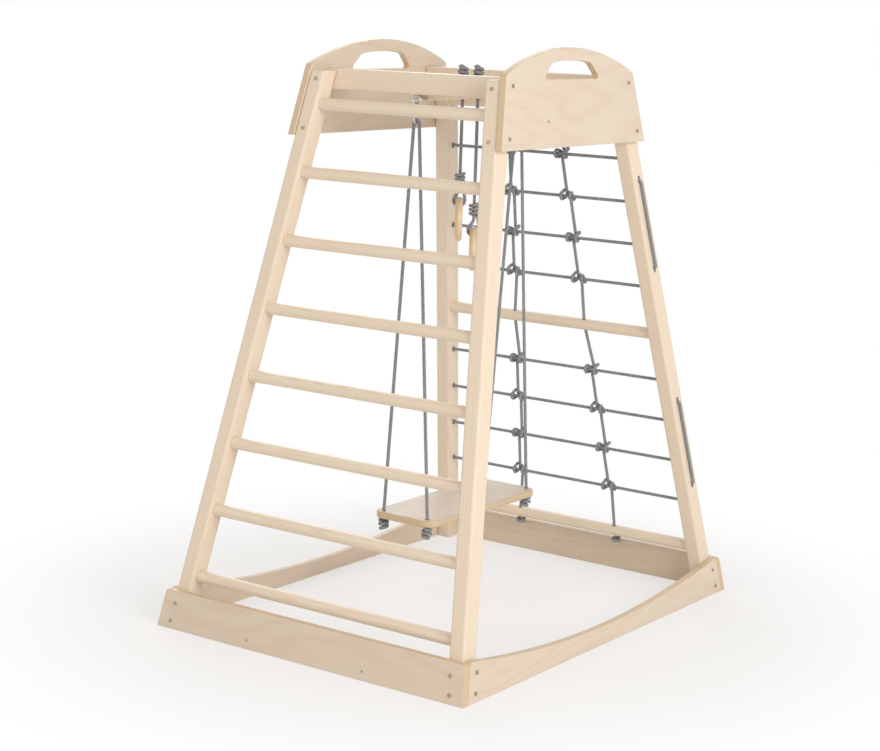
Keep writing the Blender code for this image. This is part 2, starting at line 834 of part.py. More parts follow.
def ring_rope_route(which):
    """The hanging rope, from its round top on the pivot to the loop about the ring and the coil over it."""
    pivot = ring_pivot(which)
    wood = RING_TOPS[which] - RING_WOOD - pivot.z
    loop = RING_WOOD + ROPE + ROPE_GAP
    coil = wood + RING_COIL_LIFT
    split = coil - RING_COIL_EASE
    ball = 4
    points = [Vector((0, 0, ROPE * math.cos(math.pi / 2 * step / ball))) for step in range(ball + 1)]
    points.append(Vector((0, 0, split)))
    for share in (0.25, 0.5, 0.75):
        ease = (1 - math.cos(math.pi * share)) / 2
        points.append(Vector((0, loop * ease, split + (wood - split) * share)))
    for step in range(TURN_POINTS + 1):
        angle = -math.pi * step / TURN_POINTS
        points.append(Vector((0, loop * math.cos(angle), wood + loop * math.sin(angle))))
    for share in (0.35, 0.7):
        out = loop + (COIL_STEP - loop) * share
        points.append(Vector((0, -out, wood + RING_COIL_LIFT * share)))
    for step in range(RING_COIL_TURNS * TURN_POINTS + 1):
        angle = 2 * math.pi * step / TURN_POINTS
        lift = COIL_STEP * step / TURN_POINTS + RING_COIL_EASE * (1 - math.exp(-step / 2))
        points.append(Vector((COIL_STEP * math.sin(angle), -COIL_STEP * math.cos(angle), coil + lift)))
    return points


def make_ring_rope(which):
    name = f"ring_rope_{which}"
    route = ring_rope_route(which)
    print_gap(name, route)
    print_length(name, route)
    mesh = rope_with_round_top(route)
    add_object(name, mesh, CORD, ring_pivot(which), RING_TURN, smooth_angle=TUBE_SMOOTH_ANGLE)


def rope_with_round_top(route):
    """A rope whose first points, above the pivot, narrow as a ball does."""
    curve = bpy.data.curves.new("route", "CURVE")
    curve.dimensions = "3D"
    curve.bevel_depth = ROPE
    curve.bevel_resolution = 1
    curve.use_fill_caps = True
    spline = curve.splines.new("POLY")
    spline.points.add(len(route) - 1)
    for point, place in zip(spline.points, route):
        point.co = (*place, 1)
        above = max(0.0, place.z)
        point.radius = max(ROPE_TIP, math.sqrt(max(0.0, ROPE**2 - above**2))) / ROPE
    return mesh_of_curve(curve)


def make_ring(which):
    """A turned wooden ring. Its origin is its middle, where its own axis passes."""
    points = torus_points(RING_RADIUS, 28)
    mesh = tube(points, RING_WOOD, 3, closed=True)
    mesh.transform(Matrix.Rotation(math.pi / 2, 4, "Z"))
    middle = ring_place(which) + Vector((0, 0, RING_TOPS[which] - RING_WOOD - RING_RADIUS))
    add_object(f"ring_{which}", mesh, BEECH, middle, RING_TURN, smooth_angle=TUBE_SMOOTH_ANGLE)


def build_frame():
    for end_name, end in (("ladder", -1), ("net", 1)):
        for side_name, side in (("front", -1), ("back", 1)):
            make_leg(f"leg_{side_name}_{end_name}", end, side)
    make_hollow_board("base_board_front", math.pi)
    make_hollow_board("base_board_back", 0)
    make_straight_board("base_board_ladder", math.pi / 2)
    make_straight_board("base_board_net", -math.pi / 2)
    make_panel("top_panel_front", math.pi)
    make_panel("top_panel_back", 0)
    make_rail("top_rail_ladder", math.pi / 2, -1)
    make_rail("top_rail_net", -math.pi / 2, 1)
    make_beam()


def build_rungs():
    for count, height in enumerate(ladder_heights()):
        make_rung(f"ladder_rung_{count + 1}", -1, height)
    for name, height in net_rungs().items():
        make_net_rung(f"net_rung_{name}", height)


def build_net():
    add_rope("net_rope_upper", lacing_route(upper_rows()))
    add_rope("net_rope_lower", lacing_route(lower_rows()))
    for name, side in (("front", -1), ("back", 1)):
        route = upright_route(side)
        print_gap(f"net_upright_{name}", route)
        add_rope(f"net_upright_{name}", route)


def build_swing():
    make_seat()
    route = swing_rope_route()
    print_gap("swing_rope", route)
    for name, end in (("ladder", -1), ("net", 1)):
        make_swing_eye(f"swing_eye_{name}", end)
        make_swing_link(f"swing_link_{name}", end)
        add_rope(f"swing_rope_{name}", route, (end * swing_x(), 0, link_bottom_height()))


def build_rings():
    for which in RING_TOPS:
        make_ring_anchor(which)
        make_ring_rope(which)
        make_ring(which)


build_frame()
build_rungs()
build_net()
build_swing()
build_rings()
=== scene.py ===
"""Looks of an indoor play tower: sawn pine, birch plywood, laid grey rope, turned rings and zinc-plated steel."""

import math

import bmesh
import bpy
from mathutils import Matrix, Quaternion, Vector


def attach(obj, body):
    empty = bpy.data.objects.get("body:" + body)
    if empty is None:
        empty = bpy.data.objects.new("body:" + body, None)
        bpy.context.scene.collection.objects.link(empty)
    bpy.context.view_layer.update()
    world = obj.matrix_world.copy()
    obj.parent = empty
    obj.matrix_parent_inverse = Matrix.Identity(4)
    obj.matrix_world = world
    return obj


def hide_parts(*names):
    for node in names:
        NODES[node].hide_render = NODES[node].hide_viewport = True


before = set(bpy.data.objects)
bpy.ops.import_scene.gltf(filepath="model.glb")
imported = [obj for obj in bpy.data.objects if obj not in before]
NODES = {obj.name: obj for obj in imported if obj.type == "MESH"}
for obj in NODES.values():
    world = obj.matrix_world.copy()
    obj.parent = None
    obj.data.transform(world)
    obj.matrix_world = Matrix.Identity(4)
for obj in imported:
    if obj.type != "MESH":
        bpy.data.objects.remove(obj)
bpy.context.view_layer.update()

# Sizes shared with the CAD, in metres
HALF_LENGTH = 0.600
HALF_DEPTH = 0.450
LEAN_X = 0.231
LEAN_Y = 0.122
FIT = 0.0003
LEG_X = 0.050
LEG_Y = 0.040
BOARD = 0.018
RAIL_THICK = 0.040
RAIL_BOTTOM = 1.282
BEAM_BOTTOM = 1.268
BEAM_TOP = 1.318
RUNG_RADIUS = 0.0145
SOCKET_DEPTH = 0.025
LADDER_HEIGHTS = [0.120 + 0.1612 * rung for rung in range(8)]
ROPE = 0.00425
ROPE_GAP = 0.0004
ROPE_BEND = 0.007
COIL_STEP = 2 * ROPE + 0.0010
COIL_BEND = 0.002
COIL_RISE = 0.0034
KNOT_TURNS = 2
NET_MIDDLE = 0.687
NET_FIRST_GAP = 0.121
NET_PITCH = 0.107
NET_RUNGS = {"top": 1.248, "middle": NET_MIDDLE, "bottom": 0.120}
FRONT_HOLE_DROP = 0.050
BACK_HOLE_RISE = 0.030
BLIND_HOLE = 0.022
BLIND_END_GAP = 0.002
UPRIGHT_SHARE_TOP = 0.30
UPRIGHT_SHARE_BOTTOM = 0.40
UPRIGHT_KNOT_TURNS = 1
SEAT_THICK = 0.018
SEAT_TOP = 0.278
SEAT_HOLE_SPREAD = 0.065
SEAT_ROPE_STRAIGHT = 0.006
SEAT_ROPE_RISE = 0.020
EYE_RADIUS = 0.011
EYE_WIRE = 0.003
LINK_WIRE = 0.003
LINK_HALF_WIDTH = 0.010
LINK_STRAIGHT = 0.028
LINK_NUT_RADIUS = 0.0055
LINK_NUT_LENGTH = 0.013
EYE_PLAY = 0.0006
RING_RADIUS = 0.0455
RING_WOOD = 0.009
RING_TOPS = {"left": 1.033, "right": 0.959}
RING_HALF_SPREAD_X = 0.018
RING_HALF_SPREAD_Y = 0.010
RING_TURN = math.radians(35)
RING_COIL_LIFT = 0.032
RING_COIL_TURNS = 3
RING_COIL_EASE = 0.004

# Finish of the laid rope
LAY_LENGTH = 0.027
ROPE_STEP = 0.0021
GROOVE = 0.22
CURVE_POINTS = 24

# The rungs' holes for the upright ropes
RUNG_BORE = 0.0052

# Fasteners
BOLT_HEAD = 0.0050
BOLT_SOCKET = 0.0021
BOLT_HEIGHT = 0.0012
SCREW_HEAD = 0.0035
SCREW_HEIGHT = 0.0007
SCREW_SOCKET = 0.0012
PANEL_BOLTS_AT = (1.316, 1.200)
BOARD_BOLTS_AT = (0.020, 0.064)
SCREWS_AT = (0.170, 0.020)

# Colours
PINE_LIGHT = (0.890, 0.780, 0.640)
PINE_DARK = (0.770, 0.615, 0.452)
PINE_END = (0.60, 0.44, 0.29)
PINE_PORE = (0.45, 0.30, 0.18)
BIRCH_LIGHT = (0.785, 0.672, 0.548)
BIRCH_DARK = (0.672, 0.538, 0.406)
BIRCH_PORE = (0.47, 0.32, 0.20)
KNOT_BROWN = (0.30, 0.17, 0.09)
PLY_LIGHT = (0.80, 0.64, 0.45)
PLY_DARK = (0.60, 0.42, 0.26)
GLUE_BROWN = (0.34, 0.21, 0.12)
# Paler colour painted along the wooden edges as a painted highlight
EDGE_HIGHLIGHT = (0.90, 0.79, 0.64)
RING_LIGHT = (0.83, 0.65, 0.43)
RING_DARK = (0.62, 0.42, 0.24)
RING_PORE = (0.35, 0.21, 0.11)
ROPE_DARK = (0.240, 0.252, 0.272)
ROPE_LIGHT = (0.440, 0.456, 0.482)
YARN_SHADE = (0.085, 0.088, 0.092)
GROOVE_SHADE = (0.060, 0.062, 0.065)
FUZZ_GREY = (0.62, 0.62, 0.62)
MELTED_GREY = (0.13, 0.13, 0.135)
WORN_STEEL = (0.86, 0.86, 0.85)
WHITE = (1.0, 1.0, 1.0)
WARM_FILL = (1.0, 0.945, 0.885)

# Grain, in metres
GROWTH_RING = 0.0037
PLY_COUNT = 13


def socket_of(sockets, key):
    if isinstance(key, int):
        return sockets[key]
    return next(s for s in sockets if s.enabled and s.name == key)


def node(tree, kind, inputs=None, **settings):
    """A new node with its settings, and each input either linked or set."""
    made = tree.nodes.new(kind)
    for name, value in settings.items():
        setattr(made, name, value)
    for key, value in (inputs or {}).items():
        socket = socket_of(made.inputs, key)
        if isinstance(value, bpy.types.NodeSocket):
            tree.links.new(value, socket)
        else:
            socket.default_value = value
    return made


def calc(tree, operation, *values):
    made = node(tree, "ShaderNodeMath", dict(enumerate(values)), operation=operation)
    return made.outputs[0]


def vector_calc(tree, operation, *values):
    made = node(tree, "ShaderNodeVectorMath", dict(enumerate(values)), operation=operation)
    return made.outputs["Value" if operation in ("DOT_PRODUCT", "LENGTH") else "Vector"]


def noise(tree, place, stretch, detail=2.0, roughness=0.5):
    """Soft noise of about 0 to 1, with stretch in cycles per metre along each axis."""
    scaled = vector_calc(tree, "MULTIPLY", place, stretch)
    inputs = {"Vector": scaled, "Scale": 1.0, "Detail": detail, "Roughness": roughness}
    return node(tree, "ShaderNodeTexNoise", inputs).outputs["Fac"]


def spread(tree, value, low, high, out_low=0.0, out_high=1.0):
    inputs = {"Value": value, "From Min": low, "From Max": high, "To Min": out_low, "To Max": out_high}
    return node(tree, "ShaderNodeMapRange", inputs, interpolation_type="SMOOTHSTEP").outputs["Result"]


def mixed(tree, share, first, second):
    made = node(tree, "ShaderNodeMix", {0: share}, data_type="RGBA")
    for socket, value in zip((made.inputs[6], made.inputs[7]), (first, second)):
        if isinstance(value, bpy.types.NodeSocket):
            tree.links.new(value, socket)
        else:
            socket.default_value = (*value, 1.0)
    return made.outputs[2]


def new_material(name):
    """An empty material: its tree, its Principled shader and its object coordinates."""
    made = bpy.data.materials.new(name)
    made.use_nodes = True
    tree = made.node_tree
    shader = tree.nodes["Principled BSDF"]
    return made, tree, shader, node(tree, "ShaderNodeTexCoord")


def floats(*labels):
    return [(label, "NodeSocketFloat") for label in labels]


def new_group(name, inputs, outputs):
    tree = bpy.data.node_groups.new(name, "ShaderNodeTree")
    for label, kind in inputs:
        tree.interface.new_socket(label, in_out="INPUT", socket_type=kind)
    for label, kind in outputs:
        tree.interface.new_socket(label, in_out="OUTPUT", socket_type=kind)
    return tree, tree.nodes.new("NodeGroupInput"), tree.nodes.new("NodeGroupOutput")


def sawn_grain():
    """Growth rings, fibres and pores of a sawn softwood, in metres along, across and through the piece."""
    tree, given, result = new_group(
        "sawn grain",
        [("Place", "NodeSocketVector")],
        floats("Figure", "Fibre", "Pores"),
    )
    place = given.outputs["Place"]
    slow = noise(tree, place, (1.6, 9.0, 9.0), 2.0)
    wander = calc(tree, "MULTIPLY", calc(tree, "SUBTRACT", slow, 0.5), 0.030)
    split = node(tree, "ShaderNodeSeparateXYZ", {0: place})
    across = calc(tree, "ADD", split.outputs["Y"], calc(tree, "ADD", wander, 0.021))
    through = calc(tree, "ADD", split.outputs["Z"], calc(tree, "ADD", wander, 0.034))
    squares = calc(tree, "ADD", calc(tree, "MULTIPLY", across, across), calc(tree, "MULTIPLY", through, through))
    radius = calc(tree, "SQRT", squares)
    ring = calc(tree, "SINE", calc(tree, "MULTIPLY", radius, 2 * math.pi / GROWTH_RING))
    late = calc(tree, "POWER", calc(tree, "MULTIPLY_ADD", ring, 0.5, 0.5), 2.4)
    streak = noise(tree, place, (3.0, 190.0, 190.0), 3.0, 0.6)
    fibre = noise(tree, place, (30.0, 1500.0, 1500.0), 2.0, 0.7)
    pores = spread(tree, noise(tree, place, (85.0, 2400.0, 2400.0), 1.0), 0.64, 0.74)
    figure = calc(tree, "MULTIPLY_ADD", late, 0.42, calc(tree, "MULTIPLY_ADD", streak, 0.34, -0.05))
    figure = calc(tree, "ADD", figure, calc(tree, "MULTIPLY", slow, 0.36))
    for name, value in (("Figure", figure), ("Fibre", fibre), ("Pores", pores)):
        tree.links.new(value, result.inputs[name])
    return tree


def veneer_grain():
    """The wide, flame-like figure of rotary-cut birch, its short pores, and the plies along an edge."""
    tree, given, result = new_group(
        "veneer grain",
        [("Place", "NodeSocketVector")],
        floats("Figure", "Fibre", "Pores", "Plies", "Glue"),
    )
    place = given.outputs["Place"]
    split = node(tree, "ShaderNodeSeparateXYZ", {0: place})
    flat = node(tree, "ShaderNodeCombineXYZ", {0: split.outputs["X"], 1: split.outputs["Y"], 2: 0.0}).outputs[0]
    slow = noise(tree, flat, (1.5, 7.5, 1.0), 1.5, 0.45)
    contour = calc(tree, "SINE", calc(tree, "MULTIPLY", slow, 62.0))
    flame = calc(tree, "POWER", calc(tree, "MULTIPLY_ADD", contour, 0.5, 0.5), 1.7)
    streak = noise(tree, place, (4.0, 130.0, 130.0), 3.0, 0.62)
    fibre = noise(tree, place, (40.0, 1300.0, 1300.0), 2.0, 0.7)
    pores = spread(tree, noise(tree, place, (120.0, 1900.0, 1900.0), 1.0), 0.66, 0.75)
    figure = calc(tree, "MULTIPLY_ADD", flame, 0.26, calc(tree, "MULTIPLY", streak, 0.45))
    figure = calc(tree, "ADD", figure, calc(tree, "MULTIPLY", noise(tree, flat, (3.0, 4.0, 1.0), 1.0), 0.22))
    ply = BOARD / PLY_COUNT
    layer = calc(tree, "DIVIDE", calc(tree, "ADD", split.outputs["Z"], BOARD / 2), 2 * ply)
    turn = calc(tree, "FRACT", calc(tree, "ADD", layer, 64.0))
    plies = spread(tree, calc(tree, "ABSOLUTE", calc(tree, "SUBTRACT", turn, 0.25)), 0.22, 0.28)
    seam = calc(tree, "PINGPONG", calc(tree, "MULTIPLY", layer, 2.0), 0.5)
    glue = spread(tree, seam, 0.07, 0.0)
    for name, value in (("Figure", figure), ("Fibre", fibre), ("Pores", pores), ("Plies", plies), ("Glue", glue)):
        tree.links.new(value, result.inputs[name])
    return tree


SAWN = sawn_grain()
VENEER = veneer_grain()


def grain_place(tree, coordinates, along, face, shift):
    """Object coordinates turned so that X runs along the grain and Z through the piece, moved to its own wood."""
    x = Vector(along).normalized()
    z = Vector(face).normalized()
    y = z.cross(x).normalized()
    z = x.cross(y)
    turn = Matrix((x, y, z)).to_euler()
    inputs = {"Vector": coordinates, "Rotation": turn, "Location": shift}
    return node(tree, "ShaderNodeMapping", inputs, vector_type="POINT").outputs[0]


def edge_share(tree, width):
    """How near a point is to an edge: 0 on the flat, near 1 on the corner."""
    soft = node(tree, "ShaderNodeBevel", {"Radius": width}, samples=4).outputs[0]
    hard = node(tree, "ShaderNodeNewGeometry").outputs["Normal"]
    return spread(tree, vector_calc(tree, "DOT_PRODUCT", soft, hard), 0.985, 0.80), soft


def bumped(tree, shader, strength, distance, height, normal=None):
    inputs = {"Strength": strength, "Distance": distance, "Height": height}
    if normal is not None:
        inputs["Normal"] = normal
    tree.links.new(node(tree, "ShaderNodeBump", inputs).outputs[0], shader.inputs["Normal"])


def grain_relief(tree, grain, figure):
    """The height of the wood's face: figure and fibres stand out, and pores sink in."""
    raised = calc(tree, "MULTIPLY_ADD", grain["Figure"], figure, grain["Fibre"])
    return calc(tree, "SUBTRACT", raised, grain["Pores"])


def lacquer(tree, shader, colour, fibre, relief, edge_width):
    """Clear satin lacquer over wood: rubbed a little smoother along the edges, which are also painted paler as a
    painted highlight.
    """
    edge, soft = edge_share(tree, edge_width)
    # Painted highlight: the colour near each edge is mixed towards a paler colour
    edge_lit = mixed(tree, calc(tree, "MULTIPLY", edge, 0.30), colour, EDGE_HIGHLIGHT)
    tree.links.new(edge_lit, shader.inputs["Base Color"])
    rough = calc(tree, "MULTIPLY_ADD", fibre, 0.22, 0.34)
    tree.links.new(calc(tree, "SUBTRACT", rough, calc(tree, "MULTIPLY", edge, 0.08)), shader.inputs["Roughness"])
    bumped(tree, shader, 0.55, 0.00012, relief, soft)
    shader.inputs["Specular IOR Level"].default_value = 0.42
    shader.inputs["Coat Weight"].default_value = 0.22
    shader.inputs["Coat Roughness"].default_value = 0.28


def pine(name, along, face, shift, attribute=None):
    """Sawn pine with its grain along the piece. attribute moves each piece of one mesh to its own wood."""
    made, tree, shader, source = new_material(name)
    place = grain_place(tree, source.outputs["Object"], along, face, shift)
    if attribute:
        own = node(tree, "ShaderNodeAttribute", attribute_name=attribute).outputs["Fac"]
        steps = {0: calc(tree, "MULTIPLY", own, 3.7), 2: calc(tree, "MULTIPLY", own, 0.031)}
        place = vector_calc(tree, "ADD", place, node(tree, "ShaderNodeCombineXYZ", steps).outputs[0])
    grain = node(tree, "ShaderNodeGroup", {"Place": place}, node_tree=SAWN).outputs
    colour = mixed(tree, grain["Figure"], PINE_LIGHT, PINE_DARK)
    ends = vector_calc(tree, "DOT_PRODUCT", source.outputs["Normal"], Vector(along).normalized())
    cut_end = spread(tree, calc(tree, "ABSOLUTE", ends), 0.86, 0.96, 0.0, 0.45)
    colour = mixed(tree, cut_end, colour, PINE_END)
    colour = mixed(tree, calc(tree, "MULTIPLY", grain["Pores"], 0.16), colour, PINE_PORE)
    lacquer(tree, shader, colour, grain["Fibre"], grain_relief(tree, grain, 0.5), 0.0022)
    return made


def plywood(name, along, face, middle, shift, knot=None, painted_shade_factor=1.0):
    """Birch plywood. middle is a point half way through the board, so that the plies show at its edges.

    knot is the place of a brown knot in its face, and a factor below 1 darkens the face as painted shade.
    """
    made, tree, shader, source = new_material(name)
    normal = Vector(face).normalized()
    through = -normal.dot(Vector(middle))
    place = grain_place(tree, source.outputs["Object"], along, face, (shift[0], shift[1], through))
    grain = node(tree, "ShaderNodeGroup", {"Place": place}, node_tree=VENEER).outputs
    # Painted shade: both birch colours are scaled down by the factor
    light, dark = ([part * painted_shade_factor for part in shade] for shade in (BIRCH_LIGHT, BIRCH_DARK))
    colour = mixed(tree, grain["Figure"], light, dark)
    colour = mixed(tree, calc(tree, "MULTIPLY", grain["Pores"], 0.20), colour, BIRCH_PORE)
    if knot:
        away = vector_calc(tree, "SUBTRACT", source.outputs["Object"], knot)
        away = vector_calc(tree, "MULTIPLY", away, (1.0, 1.0, 1.5))
        near = spread(tree, vector_calc(tree, "LENGTH", away), 0.0065, 0.0035)
        colour = mixed(tree, calc(tree, "MULTIPLY", near, 0.75), colour, KNOT_BROWN)
    edge_cut = mixed(tree, grain["Plies"], PLY_LIGHT, PLY_DARK)
    edge_cut = mixed(tree, calc(tree, "MULTIPLY", grain["Glue"], 0.45), edge_cut, GLUE_BROWN)
    flatness = calc(tree, "ABSOLUTE", vector_calc(tree, "DOT_PRODUCT", source.outputs["Normal"], normal))
    colour = mixed(tree, spread(tree, flatness, 0.80, 0.60), colour, edge_cut)
    lacquer(tree, shader, colour, grain["Fibre"], grain_relief(tree, grain, 0.3), 0.0014)
    return made


def rope_finish():
    """Matt grey rope: each strand is laid up from twisted yarns of slightly different greys."""
    made, tree, shader, source = new_material("grey laid rope")
    along = node(tree, "ShaderNodeAttribute", attribute_name="along").outputs["Fac"]
    round_it = node(tree, "ShaderNodeAttribute", attribute_name="around").outputs["Fac"]
    seal = node(tree, "ShaderNodeAttribute", attribute_name="sealed").outputs["Fac"]
    slope = calc(tree, "MULTIPLY_ADD", along, 2 * math.pi / LAY_LENGTH * 0.72, round_it)
    yarn = calc(tree, "SINE", calc(tree, "MULTIPLY", slope, 15.0))
    tight = calc(tree, "SINE", calc(tree, "MULTIPLY_ADD", along, 5200.0, round_it))
    turns = {0: calc(tree, "MULTIPLY", slope, 6.0), 1: calc(tree, "MULTIPLY", along, 55.0)}
    turned = node(tree, "ShaderNodeCombineXYZ", turns).outputs[0]
    blend = node(tree, "ShaderNodeTexNoise", {"Vector": turned, "Scale": 1.0, "Detail": 2.0}).outputs["Fac"]
    fuzz = noise(tree, source.outputs["Object"], (1900.0, 1900.0, 1900.0), 3.0, 0.7)
    grey = mixed(tree, spread(tree, blend, 0.32, 0.68), ROPE_DARK, ROPE_LIGHT)
    grey = mixed(tree, spread(tree, yarn, -0.2, -1.0, 0.0, 0.45), grey, YARN_SHADE)
    lobe = calc(tree, "ABSOLUTE", calc(tree, "COSINE", calc(tree, "MULTIPLY", round_it, 1.5)))
    grey = mixed(tree, spread(tree, lobe, 0.35, 0.0, 0.0, 0.75), grey, GROOVE_SHADE)
    grey = mixed(tree, calc(tree, "MULTIPLY", spread(tree, fuzz, 0.55, 0.75), 0.30), grey, FUZZ_GREY)
    grey = mixed(tree, seal, grey, MELTED_GREY)
    tree.links.new(grey, shader.inputs["Base Color"])
    tree.links.new(calc(tree, "MULTIPLY_ADD", seal, -0.35, 0.86), shader.inputs["Roughness"])
    fine = calc(tree, "MULTIPLY_ADD", tight, 0.14, calc(tree, "MULTIPLY", fuzz, 0.6))
    bumped(tree, shader, 0.7, 0.00022, calc(tree, "ADD", calc(tree, "MULTIPLY", yarn, 0.5), fine))
    shader.inputs["Specular IOR Level"].default_value = 0.25
    shader.inputs["Sheen Weight"].default_value = 0.25
    shader.inputs["Sheen Roughness"].default_value = 0.5
    return made


def steel_finish(name, colour, spots, rough_low, rough_high):
    """Plated steel with the cloudy crystals of its plating and fine rubbed scratches."""
    made, tree, shader, source = new_material(name)
    place = source.outputs["Object"]
    clouds = noise(tree, place, (420.0, 420.0, 420.0), 3.0, 0.6)
    scratch = noise(tree, place, (900.0, 5200.0, 2600.0), 1.0)
    tint = mixed(tree, spread(tree, clouds, 0.35, 0.7), colour, spots)
    edge, soft = edge_share(tree, 0.0006)
    tint = mixed(tree, calc(tree, "MULTIPLY", edge, 0.5), tint, WORN_STEEL)
    tree.links.new(tint, shader.inputs["Base Color"])
    wear = calc(tree, "MULTIPLY_ADD", scratch, 0.5, calc(tree, "MULTIPLY", clouds, 0.5))
    tree.links.new(spread(tree, wear, 0.2, 0.8, rough_low, rough_high), shader.inputs["Roughness"])
    bumped(tree, shader, 0.25, 0.00005, scratch, soft)
    shader.inputs["Metallic"].default_value = 1.0
    return made


ROPE_FINISH = rope_finish()
ZINC = steel_finish("zinc plated steel", (0.66, 0.67, 0.69), (0.52, 0.53, 0.55), 0.24, 0.42)
BRONZED = steel_finish("bronzed steel", (0.47, 0.37, 0.28), (0.34, 0.26, 0.19), 0.32, 0.50)


def side_x(height):
    return HALF_LENGTH - LEAN_X * height


def side_y(height):
    return HALF_DEPTH - LEAN_Y * height


def leg_outer_x(height):
    return side_x(height) - BOARD - FIT


def leg_outer_y(height):
    return side_y(height) - BOARD - FIT


def leg_inner_y(height):
    return leg_outer_y(height) - LEG_Y


def leg_middle_x(height):
    return leg_outer_x(height) - LEG_X / 2


def finish(name, material):
    """Gives a CAD node this material in all its slots."""
    for slot in NODES[name].material_slots:
        slot.material = material


def piece_from(name, mesh, body, slot, *stands_for):
    """A finished piece at the origin that rides on a body and stands for CAD nodes."""
    made = bpy.data.objects.new(name, mesh)
    bpy.context.scene.collection.objects.link(made)
    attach(made, body)
    if stands_for:
        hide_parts(*stands_for)
    return made


def points_mesh(name, runs):
    """A mesh of open or closed chains of edges, one for each run of points."""
    points = []
    edges = []
    for run, closed in runs:
        first = len(points)
        points += [tuple(point) for point in run]
        edges += [(first + i, first + i + 1) for i in range(len(run) - 1)]
        if closed:
            edges.append((first + len(run) - 1, first))
    mesh = bpy.data.meshes.new(name)
    mesh.from_pydata(points, edges, [])
    return mesh


def new_tree(name, inputs):
    """A geometry tree with a geometry in and out, and these named inputs."""
    tree = bpy.data.node_groups.new(name, "GeometryNodeTree")
    tree.interface.new_socket("Geometry", in_out="INPUT", socket_type="NodeSocketGeometry")
    for label, kind in inputs:
        tree.interface.new_socket(label, in_out="INPUT", socket_type=kind)
    tree.interface.new_socket("Geometry", in_out="OUTPUT", socket_type="NodeSocketGeometry")
    return tree, tree.nodes.new("NodeGroupInput"), tree.nodes.new("NodeGroupOutput")


def grown(name, start, tree, values):
    """The plain mesh that a geometry tree makes from the mesh start, with its named inputs set to values."""
    holder = bpy.data.objects.new(name, start)
    bpy.context.scene.collection.objects.link(holder)
    modifier = holder.modifiers.new("grow", "NODES")
    modifier.node_group = tree
    for item in tree.interface.items_tree:
        if item.item_type == "SOCKET" and item.in_out == "INPUT" and item.name in values:
            modifier[item.identifier] = values[item.name]
    graph = bpy.context.evaluated_depsgraph_get()
    mesh = bpy.data.meshes.new_from_object(holder.evaluated_get(graph), preserve_all_data_layers=True, depsgraph=graph)
    holder.modifiers.remove(modifier)
    bpy.data.objects.remove(holder, do_unlink=True)
    mesh.name = name
    return mesh


def stored(tree, geometry, name, value, kind="FLOAT"):
    inputs = {"Geometry": geometry, "Name": name, "Value": value}
    return node(tree, "GeometryNodeStoreNamedAttribute", inputs, data_type=kind, domain="POINT").outputs[0]


def end_in(tree, result, geometry, material):
    """Realised geometry with its material goes out of the tree."""
    whole = node(tree, "GeometryNodeRealizeInstances", {0: geometry}).outputs[0]
    painted = node(tree, "GeometryNodeSetMaterial", {"Geometry": whole, "Material": material}).outputs[0]
    tree.links.new(painted, result.inputs[0])


def smooth(tree, mesh):
    return node(tree, "GeometryNodeSetShadeSmooth", {"Geometry": mesh, "Shade Smooth": True}).outputs[0]


def creased(tree, mesh, degrees):
    """Smooth, but for the edges that bend by more than these degrees."""
    bend = node(tree, "GeometryNodeInputMeshEdgeAngle").outputs["Unsigned Angle"]
    sharp = calc(tree, "GREATER_THAN", bend, math.radians(degrees))
    inputs = {"Geometry": smooth(tree, mesh), "Selection": sharp, "Shade Smooth": False}
    return node(tree, "GeometryNodeSetShadeSmooth", inputs, domain="EDGE").outputs[0]


def round_bars(tree, lines, sides, radius):
    curve = node(tree, "GeometryNodeMeshToCurve", {"Mesh": lines}).outputs[0]
    circle = node(tree, "GeometryNodeCurvePrimitiveCircle", {"Resolution": sides, "Radius": radius}).outputs[0]
    inputs = {"Curve": curve, "Profile Curve": circle, "Fill Caps": True}
    return node(tree, "GeometryNodeCurveToMesh", inputs).outputs[0]


